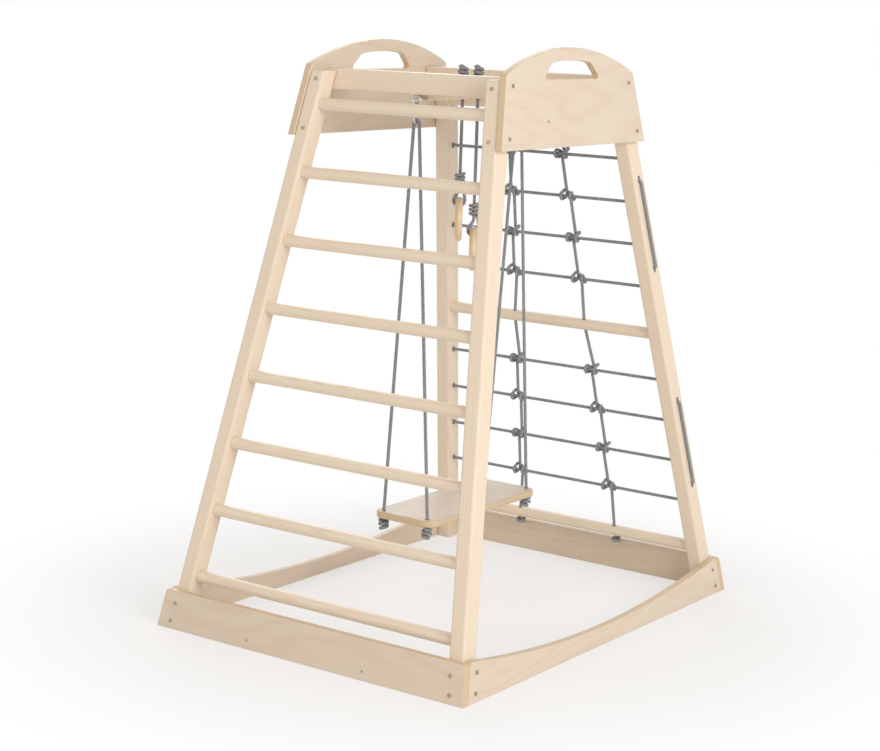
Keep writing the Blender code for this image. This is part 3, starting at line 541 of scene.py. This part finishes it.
def rope_tree():
    """A three-strand rope laid along a chain of edges, with its two ends melted round."""
    tree, given, result = new_tree(
        "laid rope",
        floats("Radius", "Lay length", "Groove", "Step") + [("Finish", "NodeSocketMaterial")],
    )
    radius = given.outputs["Radius"]
    curve = node(tree, "GeometryNodeMeshToCurve", {"Mesh": given.outputs["Geometry"]}).outputs[0]
    step = {"Curve": curve, "Length": given.outputs["Step"]}
    even = node(tree, "GeometryNodeResampleCurve", step, mode="LENGTH").outputs[0]
    upright = node(tree, "GeometryNodeSetCurveNormal", {"Curve": even}, mode="MINIMUM_TWIST").outputs[0]
    length = node(tree, "GeometryNodeSplineParameter").outputs["Length"]
    turns = calc(tree, "DIVIDE", length, given.outputs["Lay length"])
    tilt = calc(tree, "MULTIPLY", turns, 2 * math.pi)
    twisted = node(tree, "GeometryNodeSetCurveTilt", {"Curve": upright, "Tilt": tilt}).outputs[0]
    line = stored(tree, twisted, "along", length)
    circle = node(tree, "GeometryNodeCurvePrimitiveCircle", {"Resolution": CURVE_POINTS, "Radius": 1.0}).outputs[0]
    angle = calc(tree, "MULTIPLY", node(tree, "GeometryNodeSplineParameter").outputs["Factor"], 2 * math.pi)
    lobe = calc(tree, "POWER", calc(tree, "ABSOLUTE", calc(tree, "COSINE", calc(tree, "MULTIPLY", angle, 1.5))), 0.75)
    depth = calc(tree, "MULTIPLY", calc(tree, "SUBTRACT", 1.0, lobe), given.outputs["Groove"])
    size = calc(tree, "MULTIPLY", calc(tree, "SUBTRACT", 1.0, depth), radius)
    spot = node(tree, "GeometryNodeInputPosition").outputs[0]
    scaled = node(tree, "ShaderNodeVectorMath", {0: spot, "Scale": size}, operation="SCALE").outputs[0]
    around = stored(tree, circle, "around", angle)
    section = node(tree, "GeometryNodeSetPosition", {"Geometry": around, "Position": scaled}).outputs[0]
    inputs = {"Curve": line, "Profile Curve": section, "Fill Caps": True}
    tube = smooth(tree, node(tree, "GeometryNodeCurveToMesh", inputs).outputs[0])
    ends = node(tree, "GeometryNodeCurveEndpointSelection").outputs[0]
    drop = node(tree, "GeometryNodeMeshUVSphere", {"Segments": 20, "Rings": 12, "Radius": radius}).outputs["Mesh"]
    drop = stored(tree, smooth(tree, drop), "sealed", 1.0)
    inputs = {"Points": line, "Selection": ends, "Instance": drop, "Scale": (0.93, 0.93, 0.93)}
    melted = node(tree, "GeometryNodeInstanceOnPoints", inputs)
    join = node(tree, "GeometryNodeJoinGeometry")
    tree.links.new(melted.outputs[0], join.inputs[0])
    tree.links.new(tube, join.inputs[0])
    end_in(tree, result, join.outputs[0], given.outputs["Finish"])
    return tree


ROPE_TREE = rope_tree()


def rope_piece(name, route, body, *stands_for):
    start = points_mesh(name, [(route, False)])
    values = {"Radius": ROPE, "Lay length": LAY_LENGTH, "Groove": GROOVE, "Step": ROPE_STEP}
    values["Finish"] = ROPE_FINISH
    return piece_from(name, grown(name, start, ROPE_TREE, values), body, "grey_rope", *stands_for)


def rounded_corners(corners, radius, steps=8):
    """The same path with each corner between two straight runs made an arc. End points stay."""
    path = [Vector(corners[0])]
    for before, corner, after in zip(corners, corners[1:], corners[2:]):
        corner = Vector(corner)
        back = (Vector(before) - corner).normalized()
        ahead = (Vector(after) - corner).normalized()
        half = back.angle(ahead) / 2
        centre = corner + (back + ahead).normalized() * (radius / math.sin(half))
        start = (corner + back * (radius / math.tan(half)) - centre).normalized()
        end = (corner + ahead * (radius / math.tan(half)) - centre).normalized()
        for step in range(steps + 1):
            path.append(centre + radius * start.slerp(end, step / steps))
    path.append(Vector(corners[-1]))
    return path


def net_rows(way):
    """The heights of four net rows above (1) or below (-1) the middle rung, from the top down."""
    rows = [NET_MIDDLE + way * (NET_FIRST_GAP + NET_PITCH * row) for row in range(4)]
    return sorted(rows, reverse=True)


def lacing_route(rows):
    """One rope laced through both net legs, four times across, as the holes in the legs lie."""
    first, second, third, fourth = rows
    off = ROPE + FIT

    def blind_end(row):
        return Vector((leg_middle_x(row), -leg_inner_y(row) - BLIND_HOLE + BLIND_END_GAP, row))

    def corner_out(side, row, rise):
        out = row + rise
        inner = Vector((leg_middle_x(row), side * leg_inner_y(row), row))
        outer = Vector((leg_middle_x(out), side * leg_outer_y(out), out))
        along = (outer - inner) / abs(outer.y - inner.y)
        return [inner, outer + along * off / (1 + LEAN_Y * along.z)]

    route = [blind_end(second)]
    route += corner_out(1, second, BACK_HOLE_RISE)
    route += reversed(corner_out(1, first, -BACK_HOLE_RISE))
    route += corner_out(-1, first, -FRONT_HOLE_DROP)
    route += reversed(corner_out(-1, fourth, FRONT_HOLE_DROP))
    route += corner_out(1, fourth, BACK_HOLE_RISE)
    route += reversed(corner_out(1, third, -BACK_HOLE_RISE))
    route.append(blind_end(third))
    return rounded_corners(route, ROPE_BEND)


def upright_point(side, height):
    """The upright ropes spread apart downwards, a little more than the legs do."""
    down = (NET_RUNGS["top"] - height) / (NET_RUNGS["top"] - NET_RUNGS["bottom"])
    share = UPRIGHT_SHARE_TOP + (UPRIGHT_SHARE_BOTTOM - UPRIGHT_SHARE_TOP) * down
    return Vector((leg_middle_x(height), side * share * leg_inner_y(height), height))


def rung_mouths(side, height):
    """Where an upright rope's hole through a net rung opens, below and above."""
    along = upright_point(side, height + RUNG_RADIUS) - upright_point(side, height - RUNG_RADIUS)
    middle = upright_point(side, height)
    along.normalize()
    return middle - along * RUNG_RADIUS, middle + along * RUNG_RADIUS


def smooth_step(value, low, high):
    share = min(1.0, max(0.0, (value - low) / (high - low)))
    return share * share * (3 - 2 * share)


def clove_hitch(side, height, way):
    """Two turns round a row with a slanting strand over both ends, going down outside the net.

    The ends lie side by side between the turns, so that the hitch is four ropes wide. way is 1 or -1.
    """
    up = Vector((-LEAN_X, 0, 1)).normalized()
    out = Vector((1, 0, LEAN_X)).normalized()
    axis = upright_point(side, height)
    near = ROPE + ROPE_GAP / 2
    wide = 3 * near
    close = 2 * ROPE + ROPE_GAP
    points = []
    for degrees in range(0, 721, 10):
        slant = 360 - degrees
        across = -wide + 2 * wide * smooth_step(-slant, -42, 42)
        across += (wide - near) * (smooth_step(-degrees, -80, 0) - smooth_step(degrees, 640, 720))
        distance = close + (close + 0.0008) * smooth_step(-abs(slant), -82, -28)
        angle = -math.radians(degrees)
        around = distance * (math.cos(angle) * out + math.sin(angle) * up)
        points.append(axis + around + Vector((0, way * across, 0)))
    return points


def rung_knot(mouth, along):
    """The knot that holds an upright rope outside a rung's hole."""
    turn = along.to_track_quat("Z", "Y")
    lift = along * (FIT + COIL_STEP * abs(along.y))
    return [mouth + lift + turn @ point for point in coil_knot(UPRIGHT_KNOT_TURNS, 0)]


def upright_route(side):
    """Knotted over the top rung and under the bottom one, through the middle one, and hitched to each row."""
    low, high = rung_mouths(side, NET_RUNGS["top"])
    route = list(reversed(rung_knot(high, (high - low).normalized())))
    route.append(low)
    for count, row in enumerate(net_rows(1)):
        route += clove_hitch(side, row, (-1) ** count)
    route += reversed(rung_mouths(side, NET_MIDDLE))
    for count, row in enumerate(net_rows(-1)):
        route += clove_hitch(side, row, (-1) ** count)
    low, high = rung_mouths(side, NET_RUNGS["bottom"])
    route.append(high)
    return route + rung_knot(low, (low - high).normalized())


def coil_knot(turns, reach):
    """A rope's end wound back round itself, drawn along +Z from the knot's near face at 0."""
    ring = COIL_STEP
    far = ROPE + COIL_STEP * turns
    points = [Vector((0, 0, -reach)), Vector((0, 0, far - COIL_BEND)), Vector((0.0003, 0, far + 0.0005))]
    for step in range(1, 9):
        share = step / 8
        angle = math.pi * share
        out = ring * share**0.8
        points.append(Vector((out * math.cos(angle), out * math.sin(angle), far + COIL_RISE * math.sin(angle) ** 0.5)))
    for step in range(1, round(turns * CURVE_POINTS) + 1):
        angle = math.pi + 2 * math.pi * step / CURVE_POINTS
        height = far - COIL_STEP * step / CURVE_POINTS
        points.append(Vector((ring * math.cos(angle), ring * math.sin(angle), height)))
    return points


EYE_HEIGHT = RAIL_BOTTOM - FIT - EYE_RADIUS - EYE_WIRE
SWING_PIVOT = EYE_HEIGHT - EYE_RADIUS + EYE_WIRE + LINK_WIRE + EYE_PLAY
LINK_BOTTOM = SWING_PIVOT - LINK_STRAIGHT - 2 * LINK_HALF_WIDTH
SWING_X = HALF_LENGTH - BOARD - 2 * FIT - LEG_X - LEAN_X * RAIL_BOTTOM - RAIL_THICK / 2


def swing_rope_route():
    """From the knot under the seat's back hole over the link and down to the knot under its front hole."""
    bight = LINK_WIRE + ROPE + ROPE_GAP
    seat = LINK_BOTTOM - SEAT_TOP
    knot = coil_knot(KNOT_TURNS, 0)
    face = SEAT_THICK + FIT
    half = []
    for point in reversed(knot[1:]):
        half.append(Vector((point.x, SEAT_HOLE_SPREAD + point.y, -seat - face - point.z)))
    half.append(Vector((0, SEAT_HOLE_SPREAD, -seat - SEAT_THICK / 2)))
    half.append(Vector((0, SEAT_HOLE_SPREAD, -seat + SEAT_ROPE_STRAIGHT)))
    leaned = SEAT_HOLE_SPREAD + (bight - SEAT_HOLE_SPREAD) * SEAT_ROPE_RISE / seat
    half.append(Vector((0, leaned, -seat + SEAT_ROPE_RISE)))
    over = []
    for step in range(17):
        angle = math.pi * step / 16
        over.append(Vector((0, bight * math.cos(angle), bight * math.sin(angle))))
    other = [Vector((point.x, -point.y, point.z)) for point in reversed(half)]
    return half + over + other


def ring_place(which):
    side = {"left": -1, "right": 1}[which]
    return Vector((side * RING_HALF_SPREAD_X, -side * RING_HALF_SPREAD_Y, 0))


def ring_rope_route(which):
    """The hanging rope, from the beam to the loop about the ring and the coil over it, drawn from its pivot."""
    pivot = BEAM_BOTTOM - ROPE - FIT
    wood = RING_TOPS[which] - RING_WOOD - pivot
    loop = RING_WOOD + ROPE + ROPE_GAP
    coil = wood + RING_COIL_LIFT
    points = [Vector((0, 0, ROPE * 0.3)), Vector((0, 0, coil - RING_COIL_EASE))]
    for share in (0.125, 0.25, 0.375, 0.5, 0.625, 0.75, 0.875):
        ease = (1 - math.cos(math.pi * share)) / 2
        height = coil - RING_COIL_EASE + (wood - coil + RING_COIL_EASE) * share
        points.append(Vector((0, loop * ease, height)))
    for step in range(25):
        angle = -math.pi * step / 24
        points.append(Vector((0, loop * math.cos(angle), wood + loop * math.sin(angle))))
    for share in (0.35, 0.7):
        out = loop + (COIL_STEP - loop) * share
        points.append(Vector((0, -out, wood + (coil - wood) * share)))
    for step in range(RING_COIL_TURNS * CURVE_POINTS + 1):
        angle = 2 * math.pi * step / CURVE_POINTS
        lift = COIL_STEP * step / CURVE_POINTS + RING_COIL_EASE * (1 - math.exp(-step / 4))
        points.append(Vector((COIL_STEP * math.sin(angle), -COIL_STEP * math.cos(angle), coil + lift)))
    return points


def placed(points, place, turn=0.0):
    spin = Matrix.Rotation(turn, 4, "Z")
    return [spin @ point + Vector(place) for point in points]


def make_ropes():
    rope_piece("laced_rope_upper", lacing_route(net_rows(1)), "frame", "net_rope_upper")
    rope_piece("laced_rope_lower", lacing_route(net_rows(-1)), "frame", "net_rope_lower")
    for name, side in (("front", -1), ("back", 1)):
        rope_piece(f"upright_rope_{name}", upright_route(side), "frame", f"net_upright_{name}")
    for name, end in (("ladder", -1), ("net", 1)):
        route = placed(swing_rope_route(), (end * SWING_X, 0, LINK_BOTTOM))
        rope_piece(f"hanging_rope_{name}", route, "swing", f"swing_rope_{name}")
    for which in RING_TOPS:
        knot = coil_knot(KNOT_TURNS, BEAM_TOP - BEAM_BOTTOM + FIT)
        knot = placed(knot, ring_place(which) + Vector((0, 0, BEAM_TOP + FIT)))
        rope_piece(f"beam_knot_{which}", knot, "frame", f"ring_rope_{which}_anchor")
        place = ring_place(which) + Vector((0, 0, BEAM_BOTTOM - ROPE - FIT))
        route = placed(ring_rope_route(which), place, RING_TURN)
        rope_piece(f"ring_cord_{which}", route, f"ring_rope_{which}", f"ring_rope_{which}")


def sweep_tree():
    """Round bars along chains of edges."""
    tree, given, result = new_tree(
        "round bars",
        floats("Radius") + [("Sides", "NodeSocketInt"), ("Finish", "NodeSocketMaterial")],
    )
    bars = round_bars(tree, given.outputs["Geometry"], given.outputs["Sides"], given.outputs["Radius"])
    end_in(tree, result, creased(tree, bars, 50), given.outputs["Finish"])
    return tree


def bored_tree():
    """Round bars along chains of edges, each with its own number in the attribute stick.

    They are bored along the chains whose points have the attribute bore.
    """
    tree, given, result = new_tree(
        "bored bars",
        floats("Radius", "Bore radius") + [("Sides", "NodeSocketInt"), ("Finish", "NodeSocketMaterial")],
    )
    bore = node(tree, "GeometryNodeInputNamedAttribute", {"Name": "bore"}, data_type="FLOAT").outputs["Attribute"]
    chosen = calc(tree, "GREATER_THAN", bore, 0.5)
    inputs = {"Geometry": given.outputs["Geometry"], "Selection": chosen}
    parted = node(tree, "GeometryNodeSeparateGeometry", inputs).outputs
    sides = given.outputs["Sides"]
    bars = round_bars(tree, parted["Inverted"], sides, given.outputs["Radius"])
    drills = round_bars(tree, parted["Selection"], sides, given.outputs["Bore radius"])
    island = node(tree, "GeometryNodeInputMeshIsland").outputs["Island Index"]
    inputs = {"Mesh 1": stored(tree, bars, "stick", island), "Mesh 2": drills}
    bored = node(tree, "GeometryNodeMeshBoolean", inputs, operation="DIFFERENCE").outputs["Mesh"]
    end_in(tree, result, creased(tree, bored, 40), given.outputs["Finish"])
    return tree


SWEEP_TREE = sweep_tree()
BORED_TREE = bored_tree()


def make_rungs():
    """All round rungs, which end in their sockets in the legs. The net's are bored for the upright ropes."""
    runs = []
    bores = []
    for end, heights in ((-1, LADDER_HEIGHTS), (1, NET_RUNGS.values())):
        for height in heights:
            reach = leg_inner_y(height) + SOCKET_DEPTH - FIT
            x = end * leg_middle_x(height)
            line = [(x, -reach + 2 * reach * step / 12, height) for step in range(13)]
            runs.append((line, False))
    for height in NET_RUNGS.values():
        for side in (-1, 1):
            low, high = rung_mouths(side, height)
            bores.append(([low + (low - high), high + (high - low)], False))
    wood = pine("turned pine", (0, 1, 0), (0, 0, 1), (0.4, 0.0, 0.0), "stick")
    start = points_mesh("round_rungs", runs + bores)
    bore = start.attributes.new("bore", "FLOAT", "POINT")
    solid_points = sum(len(line) for line, _ in runs)
    for index, item in enumerate(bore.data):
        item.value = 1.0 if index >= solid_points else 0.0
    values = {"Radius": RUNG_RADIUS, "Bore radius": RUNG_BORE, "Sides": 48, "Finish": wood}
    mesh = grown("round_rungs", start, BORED_TREE, values)
    nodes = [f"ladder_rung_{rung + 1}" for rung in range(8)] + [f"net_rung_{name}" for name in NET_RUNGS]
    piece_from("round_rungs", mesh, "frame", "pine", *nodes)


def circle_points(radius, count, centre, first, second):
    """Points of a circle about centre in the plane of two directions."""
    found = []
    for step in range(count):
        angle = 2 * math.pi * step / count
        found.append(Vector(centre) + radius * (math.cos(angle) * Vector(first) + math.sin(angle) * Vector(second)))
    return found


def make_rings():
    """Two turned wooden rings."""
    for count, which in enumerate(RING_TOPS):
        middle = ring_place(which) + Vector((0, 0, RING_TOPS[which] - RING_WOOD - RING_RADIUS))
        across = Vector((math.cos(RING_TURN), math.sin(RING_TURN), 0))
        axis = Vector((-math.sin(RING_TURN), math.cos(RING_TURN), 0))
        line = circle_points(RING_RADIUS, 72, middle, across, (0, 0, 1))
        wood = turned_wood(f"turned ring wood {which}", across, axis, (0.3 + 0.9 * count, 0.004, 0.010))
        values = {"Radius": RING_WOOD, "Sides": 32, "Finish": wood}
        mesh = grown(f"wooden_ring_{which}", points_mesh("ring", [(line, True)]), SWEEP_TREE, values)
        piece_from(f"wooden_ring_{which}", mesh, f"ring_{which}", "ring_wood", f"ring_{which}")


def turned_wood(name, along, face, shift):
    """Warmer, closer-grained wood, polished by hands."""
    made, tree, shader, source = new_material(name)
    place = grain_place(tree, source.outputs["Object"], along, face, shift)
    grain = node(tree, "ShaderNodeGroup", {"Place": place}, node_tree=SAWN).outputs
    colour = mixed(tree, grain["Figure"], RING_LIGHT, RING_DARK)
    colour = mixed(tree, calc(tree, "MULTIPLY", grain["Pores"], 0.25), colour, RING_PORE)
    tree.links.new(colour, shader.inputs["Base Color"])
    tree.links.new(calc(tree, "MULTIPLY_ADD", grain["Fibre"], 0.18, 0.26), shader.inputs["Roughness"])
    bumped(tree, shader, 0.4, 0.0001, grain["Fibre"])
    shader.inputs["Coat Weight"].default_value = 0.35
    shader.inputs["Coat Roughness"].default_value = 0.2
    return made


def make_steel():
    """Screw eyes in the rails, and the oval screw links that hang in them."""
    for name, end in (("ladder", -1), ("net", 1)):
        x = end * SWING_X
        ring = circle_points(EYE_RADIUS, 56, (x, 0, EYE_HEIGHT), (0, 1, 0), (0, 0, 1))
        shank = [(x, 0, EYE_HEIGHT + EYE_RADIUS - 0.001 + 0.003 * step) for step in range(9)]
        values = {"Radius": EYE_WIRE, "Sides": 24, "Finish": ZINC}
        mesh = grown("eye", points_mesh("eye", [(ring, True), (shank, False)]), SWEEP_TREE, values)
        piece_from(f"screw_eye_{name}", mesh, "frame", "zinc_steel", f"swing_eye_{name}")
        width = LINK_HALF_WIDTH
        oval = []
        for half, base in ((0, -width), (1, -width - LINK_STRAIGHT)):
            for step in range(25):
                angle = math.pi * step / 24 + math.pi * half
                oval.append(Vector((x + width * math.cos(angle), 0, SWING_PIVOT + base + width * math.sin(angle))))
        values = {"Radius": LINK_WIRE, "Sides": 24, "Finish": ZINC}
        mesh = grown("link", points_mesh("link", [(oval, True)]), SWEEP_TREE, values)
        add_nut(mesh, (x - width, 0, SWING_PIVOT - width - LINK_STRAIGHT / 2))
        piece_from(f"screw_link_{name}", mesh, "swing", "zinc_steel", f"swing_link_{name}")


def add_nut(mesh, middle):
    """The long hexagon nut of a screw link and the thread beside it."""
    work = bmesh.new()
    work.from_mesh(mesh)
    half = LINK_NUT_LENGTH / 2
    chamfer = 0.0009
    slim = LINK_NUT_RADIUS - chamfer
    nut = [(-half, slim), (-half + chamfer, LINK_NUT_RADIUS), (half - chamfer, LINK_NUT_RADIUS), (half, slim)]
    thread = []
    for step in range(49):
        radius = LINK_WIRE + 0.00035 * (1 - math.cos(math.pi * step / 2)) / 2 + 0.00005
        thread.append((half + 0.0004 + 0.00018 * step, radius))
    for levels, count in ((nut, 6), (thread, 20)):
        close_rings(work, [level_ring(work, middle, height, radius, count) for height, radius in levels])
    work.to_mesh(mesh)
    work.free()


def level_ring(work, middle, height, radius, count):
    """Vertices of a level circle at this height over middle."""
    ring = []
    for k in range(count):
        angle = 2 * math.pi * k / count
        away = Vector((radius * math.cos(angle), radius * math.sin(angle), height))
        ring.append(work.verts.new(Vector(middle) + away))
    return ring


def close_rings(work, rings):
    """Walls between neighbouring rings of vertices, and a face over each end."""
    count = len(rings[0])
    for low, high in zip(rings, rings[1:]):
        for k in range(count):
            work.faces.new((low[k], low[(k + 1) % count], high[(k + 1) % count], high[k]))
    work.faces.new(list(reversed(rings[0])))
    work.faces.new(rings[-1])


def fastener_tree():
    """Flat round heads with a hexagon socket on points, each facing along the attribute facing."""
    tree, given, result = new_tree(
        "fastener heads",
        floats("Head radius", "Head height", "Socket radius")
        + [("Seed", "NodeSocketInt"), ("Finish", "NodeSocketMaterial")],
    )
    head_radius = given.outputs["Head radius"]
    height = given.outputs["Head height"]
    upper = calc(tree, "MULTIPLY", head_radius, 0.90)
    inputs = {"Vertices": 40, "Side Segments": 1, "Radius Top": upper, "Radius Bottom": head_radius, "Depth": height}
    cone = node(tree, "GeometryNodeMeshCone", inputs).outputs["Mesh"]
    inputs = {"Vertices": 6, "Radius": given.outputs["Socket radius"], "Depth": height}
    socket = node(tree, "GeometryNodeMeshCylinder", inputs).outputs["Mesh"]
    lift = node(tree, "ShaderNodeCombineXYZ", {2: calc(tree, "MULTIPLY", height, 0.72)}).outputs[0]
    socket = node(tree, "GeometryNodeTransform", {"Geometry": socket, "Translation": lift}).outputs[0]
    inputs = {"Mesh 1": cone, "Mesh 2": socket}
    head = node(tree, "GeometryNodeMeshBoolean", inputs, operation="DIFFERENCE").outputs["Mesh"]
    facing = node(tree, "GeometryNodeInputNamedAttribute", {"Name": "facing"}, data_type="FLOAT_VECTOR")
    inputs = {"Vector": socket_of(facing.outputs, "Attribute")}
    aligned = node(tree, "FunctionNodeAlignRotationToVector", inputs, axis="Z").outputs[0]
    inputs = {"Min": 0.0, "Max": 2 * math.pi, "Seed": given.outputs["Seed"]}
    chance = node(tree, "FunctionNodeRandomValue", inputs, data_type="FLOAT")
    spin = node(tree, "ShaderNodeCombineXYZ", {2: socket_of(chance.outputs, "Value")}).outputs[0]
    inputs = {"Rotation": aligned, "Rotate By": spin}
    turned = node(tree, "FunctionNodeRotateRotation", inputs, rotation_space="LOCAL").outputs[0]
    inputs = {"Points": given.outputs["Geometry"], "Instance": head, "Rotation": turned}
    heads = node(tree, "GeometryNodeInstanceOnPoints", inputs).outputs[0]
    end_in(tree, result, heads, given.outputs["Finish"])
    return tree


FASTENER_TREE = fastener_tree()


def fasteners(name, spots, head_radius, head_height, socket_radius, seed, material):
    """One mesh of heads. Each spot is (place, direction that it faces)."""
    mesh = bpy.data.meshes.new(name)
    mesh.from_pydata([tuple(place) for place, _ in spots], [], [])
    facing = mesh.attributes.new("facing", "FLOAT_VECTOR", "POINT")
    for item, (_, direction) in zip(facing.data, spots):
        item.vector = direction
    values = {"Head radius": head_radius, "Head height": head_height, "Socket radius": socket_radius}
    values.update({"Seed": seed, "Finish": material})
    piece_from(name, grown(name, mesh, FASTENER_TREE, values), "frame", "zinc_steel")


def front_spot(x, height, side, lift=0.0004):
    """A place on the outer face of a front (-1) or back (1) board or panel."""
    normal = Vector((0, side, LEAN_Y)).normalized()
    return Vector((x, side * side_y(height), height)) + normal * lift, normal


def end_spot(y, height, end, outer, lift=0.0004):
    """A place on a face that leans with the ladder (-1) or net (1) side."""
    normal = Vector((end, 0, LEAN_X)).normalized()
    return Vector((end * outer(height), y, height)) + normal * lift, normal


def make_fasteners():
    bolts = []
    screws = []
    for end in (-1, 1):
        for side in (-1, 1):
            for height in PANEL_BOLTS_AT:
                bolts.append(front_spot(end * leg_middle_x(height), height, side))
                y = side * (leg_outer_y(height) - LEG_Y / 2)
                bolts.append(end_spot(y, height - 0.008, end, leg_outer_x))
            for height in BOARD_BOLTS_AT:
                bolts.append(front_spot(end * (leg_middle_x(height) - 0.002), height, side))
                bolts.append(end_spot(side * (leg_outer_y(height) - LEG_Y / 2), height * 0.94, end, side_x))
            screws.append(end_spot(side * SCREWS_AT[0], SCREWS_AT[1], end, side_x, 0.0002))
    fasteners("furniture_bolts", bolts, BOLT_HEAD, BOLT_HEIGHT, BOLT_SOCKET, 3, BRONZED)
    fasteners("small_screws", screws, SCREW_HEAD, SCREW_HEIGHT, SCREW_SOCKET, 5, BRONZED)


def finish_timber():
    """Its own stretch of wood for each leg, rail and board."""
    for end_name, end in (("ladder", -1), ("net", 1)):
        for side_name, side in (("front", -1), ("back", 1)):
            along = (-end * LEAN_X, -side * LEAN_Y, 1)
            shift = (0.7 * end + 1.9 * side, 0.013 * end, 0.017 * side)
            wood = pine(f"pine leg {side_name} {end_name}", along, (0, side, LEAN_Y), shift)
            finish(f"leg_{side_name}_{end_name}", wood)
        wood = pine(f"pine rail {end_name}", (0, 1, 0), (end, 0, LEAN_X), (2.3 * end, 0.02, 0.008 * end))
        finish(f"top_rail_{end_name}", wood)
        middle = (end * (HALF_LENGTH - BOARD / 2), 0, 0)
        board = plywood(f"birch plywood {end_name} board", (0, 1, 0), (end, 0, LEAN_X), middle, (3.1 * end, 0.4))
        finish(f"base_board_{end_name}", board)
    finish("hanging_beam", pine("pine beam", (1, 0, 0), (0, 0, 1), (0.5, 0.006, -1.28)))
    for name, side in (("front", -1), ("back", 1)):
        middle = (0, side * (HALF_DEPTH - BOARD / 2), 0)
        face = (0, side, LEAN_Y)
        knot = (-0.116, -side_y(1.234), 1.234) if side < 0 else None
        board = plywood(f"birch plywood {name} board", (1, 0, 0), face, middle, (1.4 * side, 0.1))
        finish(f"base_board_{name}", board)
        panel = plywood(f"birch plywood {name} panel", (1, 0, 0), face, middle, (2.2 * side, 1.7), knot)
        finish(f"top_panel_{name}", panel)
    middle = (0, 0, SEAT_TOP - SEAT_THICK / 2)
    # The seat's face is darkened to 0.86 as painted shade, for the shade it lies in inside the tower
    seat = plywood("birch plywood seat", (1, 0, 0), (0, 0, 1), middle, (0.9, 2.4), painted_shade_factor=0.86)
    finish("swing_seat", seat)


def seen_directly(tree):
    """1 for the rays that show the background itself, or show it in or through a piece, and 0 for others."""
    rays = node(tree, "ShaderNodeLightPath")
    seen = calc(tree, "MAXIMUM", rays.outputs["Is Camera Ray"], rays.outputs["Is Glossy Ray"])
    return calc(tree, "MAXIMUM", seen, rays.outputs["Is Transmission Ray"])


def make_floor():
    """A pale floor that keeps the tower's shadow near it and goes over into the white background."""
    work = bmesh.new()
    bmesh.ops.create_grid(work, x_segments=1, y_segments=1, size=30)
    mesh = bpy.data.meshes.new("floor")
    work.to_mesh(mesh)
    work.free()
    floor = bpy.data.objects.new("floor", mesh)
    floor.location.z = -0.0006
    bpy.context.scene.collection.objects.link(floor)
    made, tree, shader, source = new_material("pale floor")
    tree.nodes.remove(shader)
    out = tree.nodes["Material Output"]
    place = source.outputs["Object"]
    mottle = noise(tree, place, (3.0, 3.0, 3.0), 2.0)
    shade = mixed(tree, mottle, (0.93, 0.93, 0.93), (0.96, 0.96, 0.96))
    matt = node(tree, "ShaderNodeBsdfDiffuse", {"Color": shade}).outputs[0]
    white = node(tree, "ShaderNodeEmission", {"Color": (1, 1, 1, 1), "Strength": 1.0}).outputs[0]
    far = spread(tree, vector_calc(tree, "LENGTH", place), 0.60, 1.35, 0.50, 1.0)
    share = calc(tree, "MULTIPLY", far, seen_directly(tree))
    mix = node(tree, "ShaderNodeMixShader", {0: share, 1: matt, 2: white}).outputs[0]
    tree.links.new(mix, out.inputs["Surface"])
    mesh.materials.append(made)


def make_world(level):
    """A white background that lights the tower as a dimmer, warm fill."""
    world = bpy.data.worlds.new("studio")
    bpy.context.scene.world = world
    world.use_nodes = True
    tree = world.node_tree
    backdrop = tree.nodes["Background"]
    seen = seen_directly(tree)
    strength = calc(tree, "MULTIPLY_ADD", seen, 1.0 - level, level)
    tree.links.new(strength, backdrop.inputs["Strength"])
    tree.links.new(mixed(tree, seen, WARM_FILL, WHITE), backdrop.inputs["Color"])


def make_lamp(name, place, aim, width, watts, colour):
    lamp = bpy.data.lights.new(name, "AREA")
    lamp.shape = "SQUARE"
    lamp.size = width
    lamp.energy = watts
    lamp.color = colour
    made = bpy.data.objects.new(name, lamp)
    made.location = place
    made.rotation_euler = (Vector(aim) - Vector(place)).to_track_quat("-Z", "Y").to_euler()
    bpy.context.scene.collection.objects.link(made)


def make_camera():
    """The photograph's eye point, aimed at the tower's middle."""
    camera = bpy.data.cameras.new("camera")
    camera.lens = 82.9
    made = bpy.data.objects.new("camera", camera)
    made.location = (-4.037, -2.797, 1.498)
    aim = Vector((-0.0896, 0.0, 0.6027))
    straight = (aim - made.location).to_track_quat("-Z", "Y")
    made.rotation_euler = (straight @ Quaternion((0, 0, 1), 0.0313)).to_euler()
    bpy.context.scene.collection.objects.link(made)
    bpy.context.scene.camera = made


make_camera()
make_ropes()
make_rungs()
make_rings()
make_steel()
make_fasteners()
finish_timber()
make_floor()
make_world(0.50)
MIDDLE = (0, 0, 0.7)
make_lamp("key", (-1.6, -4.6, 2.5), MIDDLE, 2.8, 135, (1.0, 0.99, 0.97))
make_lamp("side", (-4.6, 0.8, 2.4), MIDDLE, 2.6, 32, (1.0, 0.96, 0.89))
make_lamp("back", (3.2, 3.6, 3.2), MIDDLE, 3.0, 70, (1.0, 1.0, 1.0))

bpy.context.scene.view_settings.view_transform = "Standard"
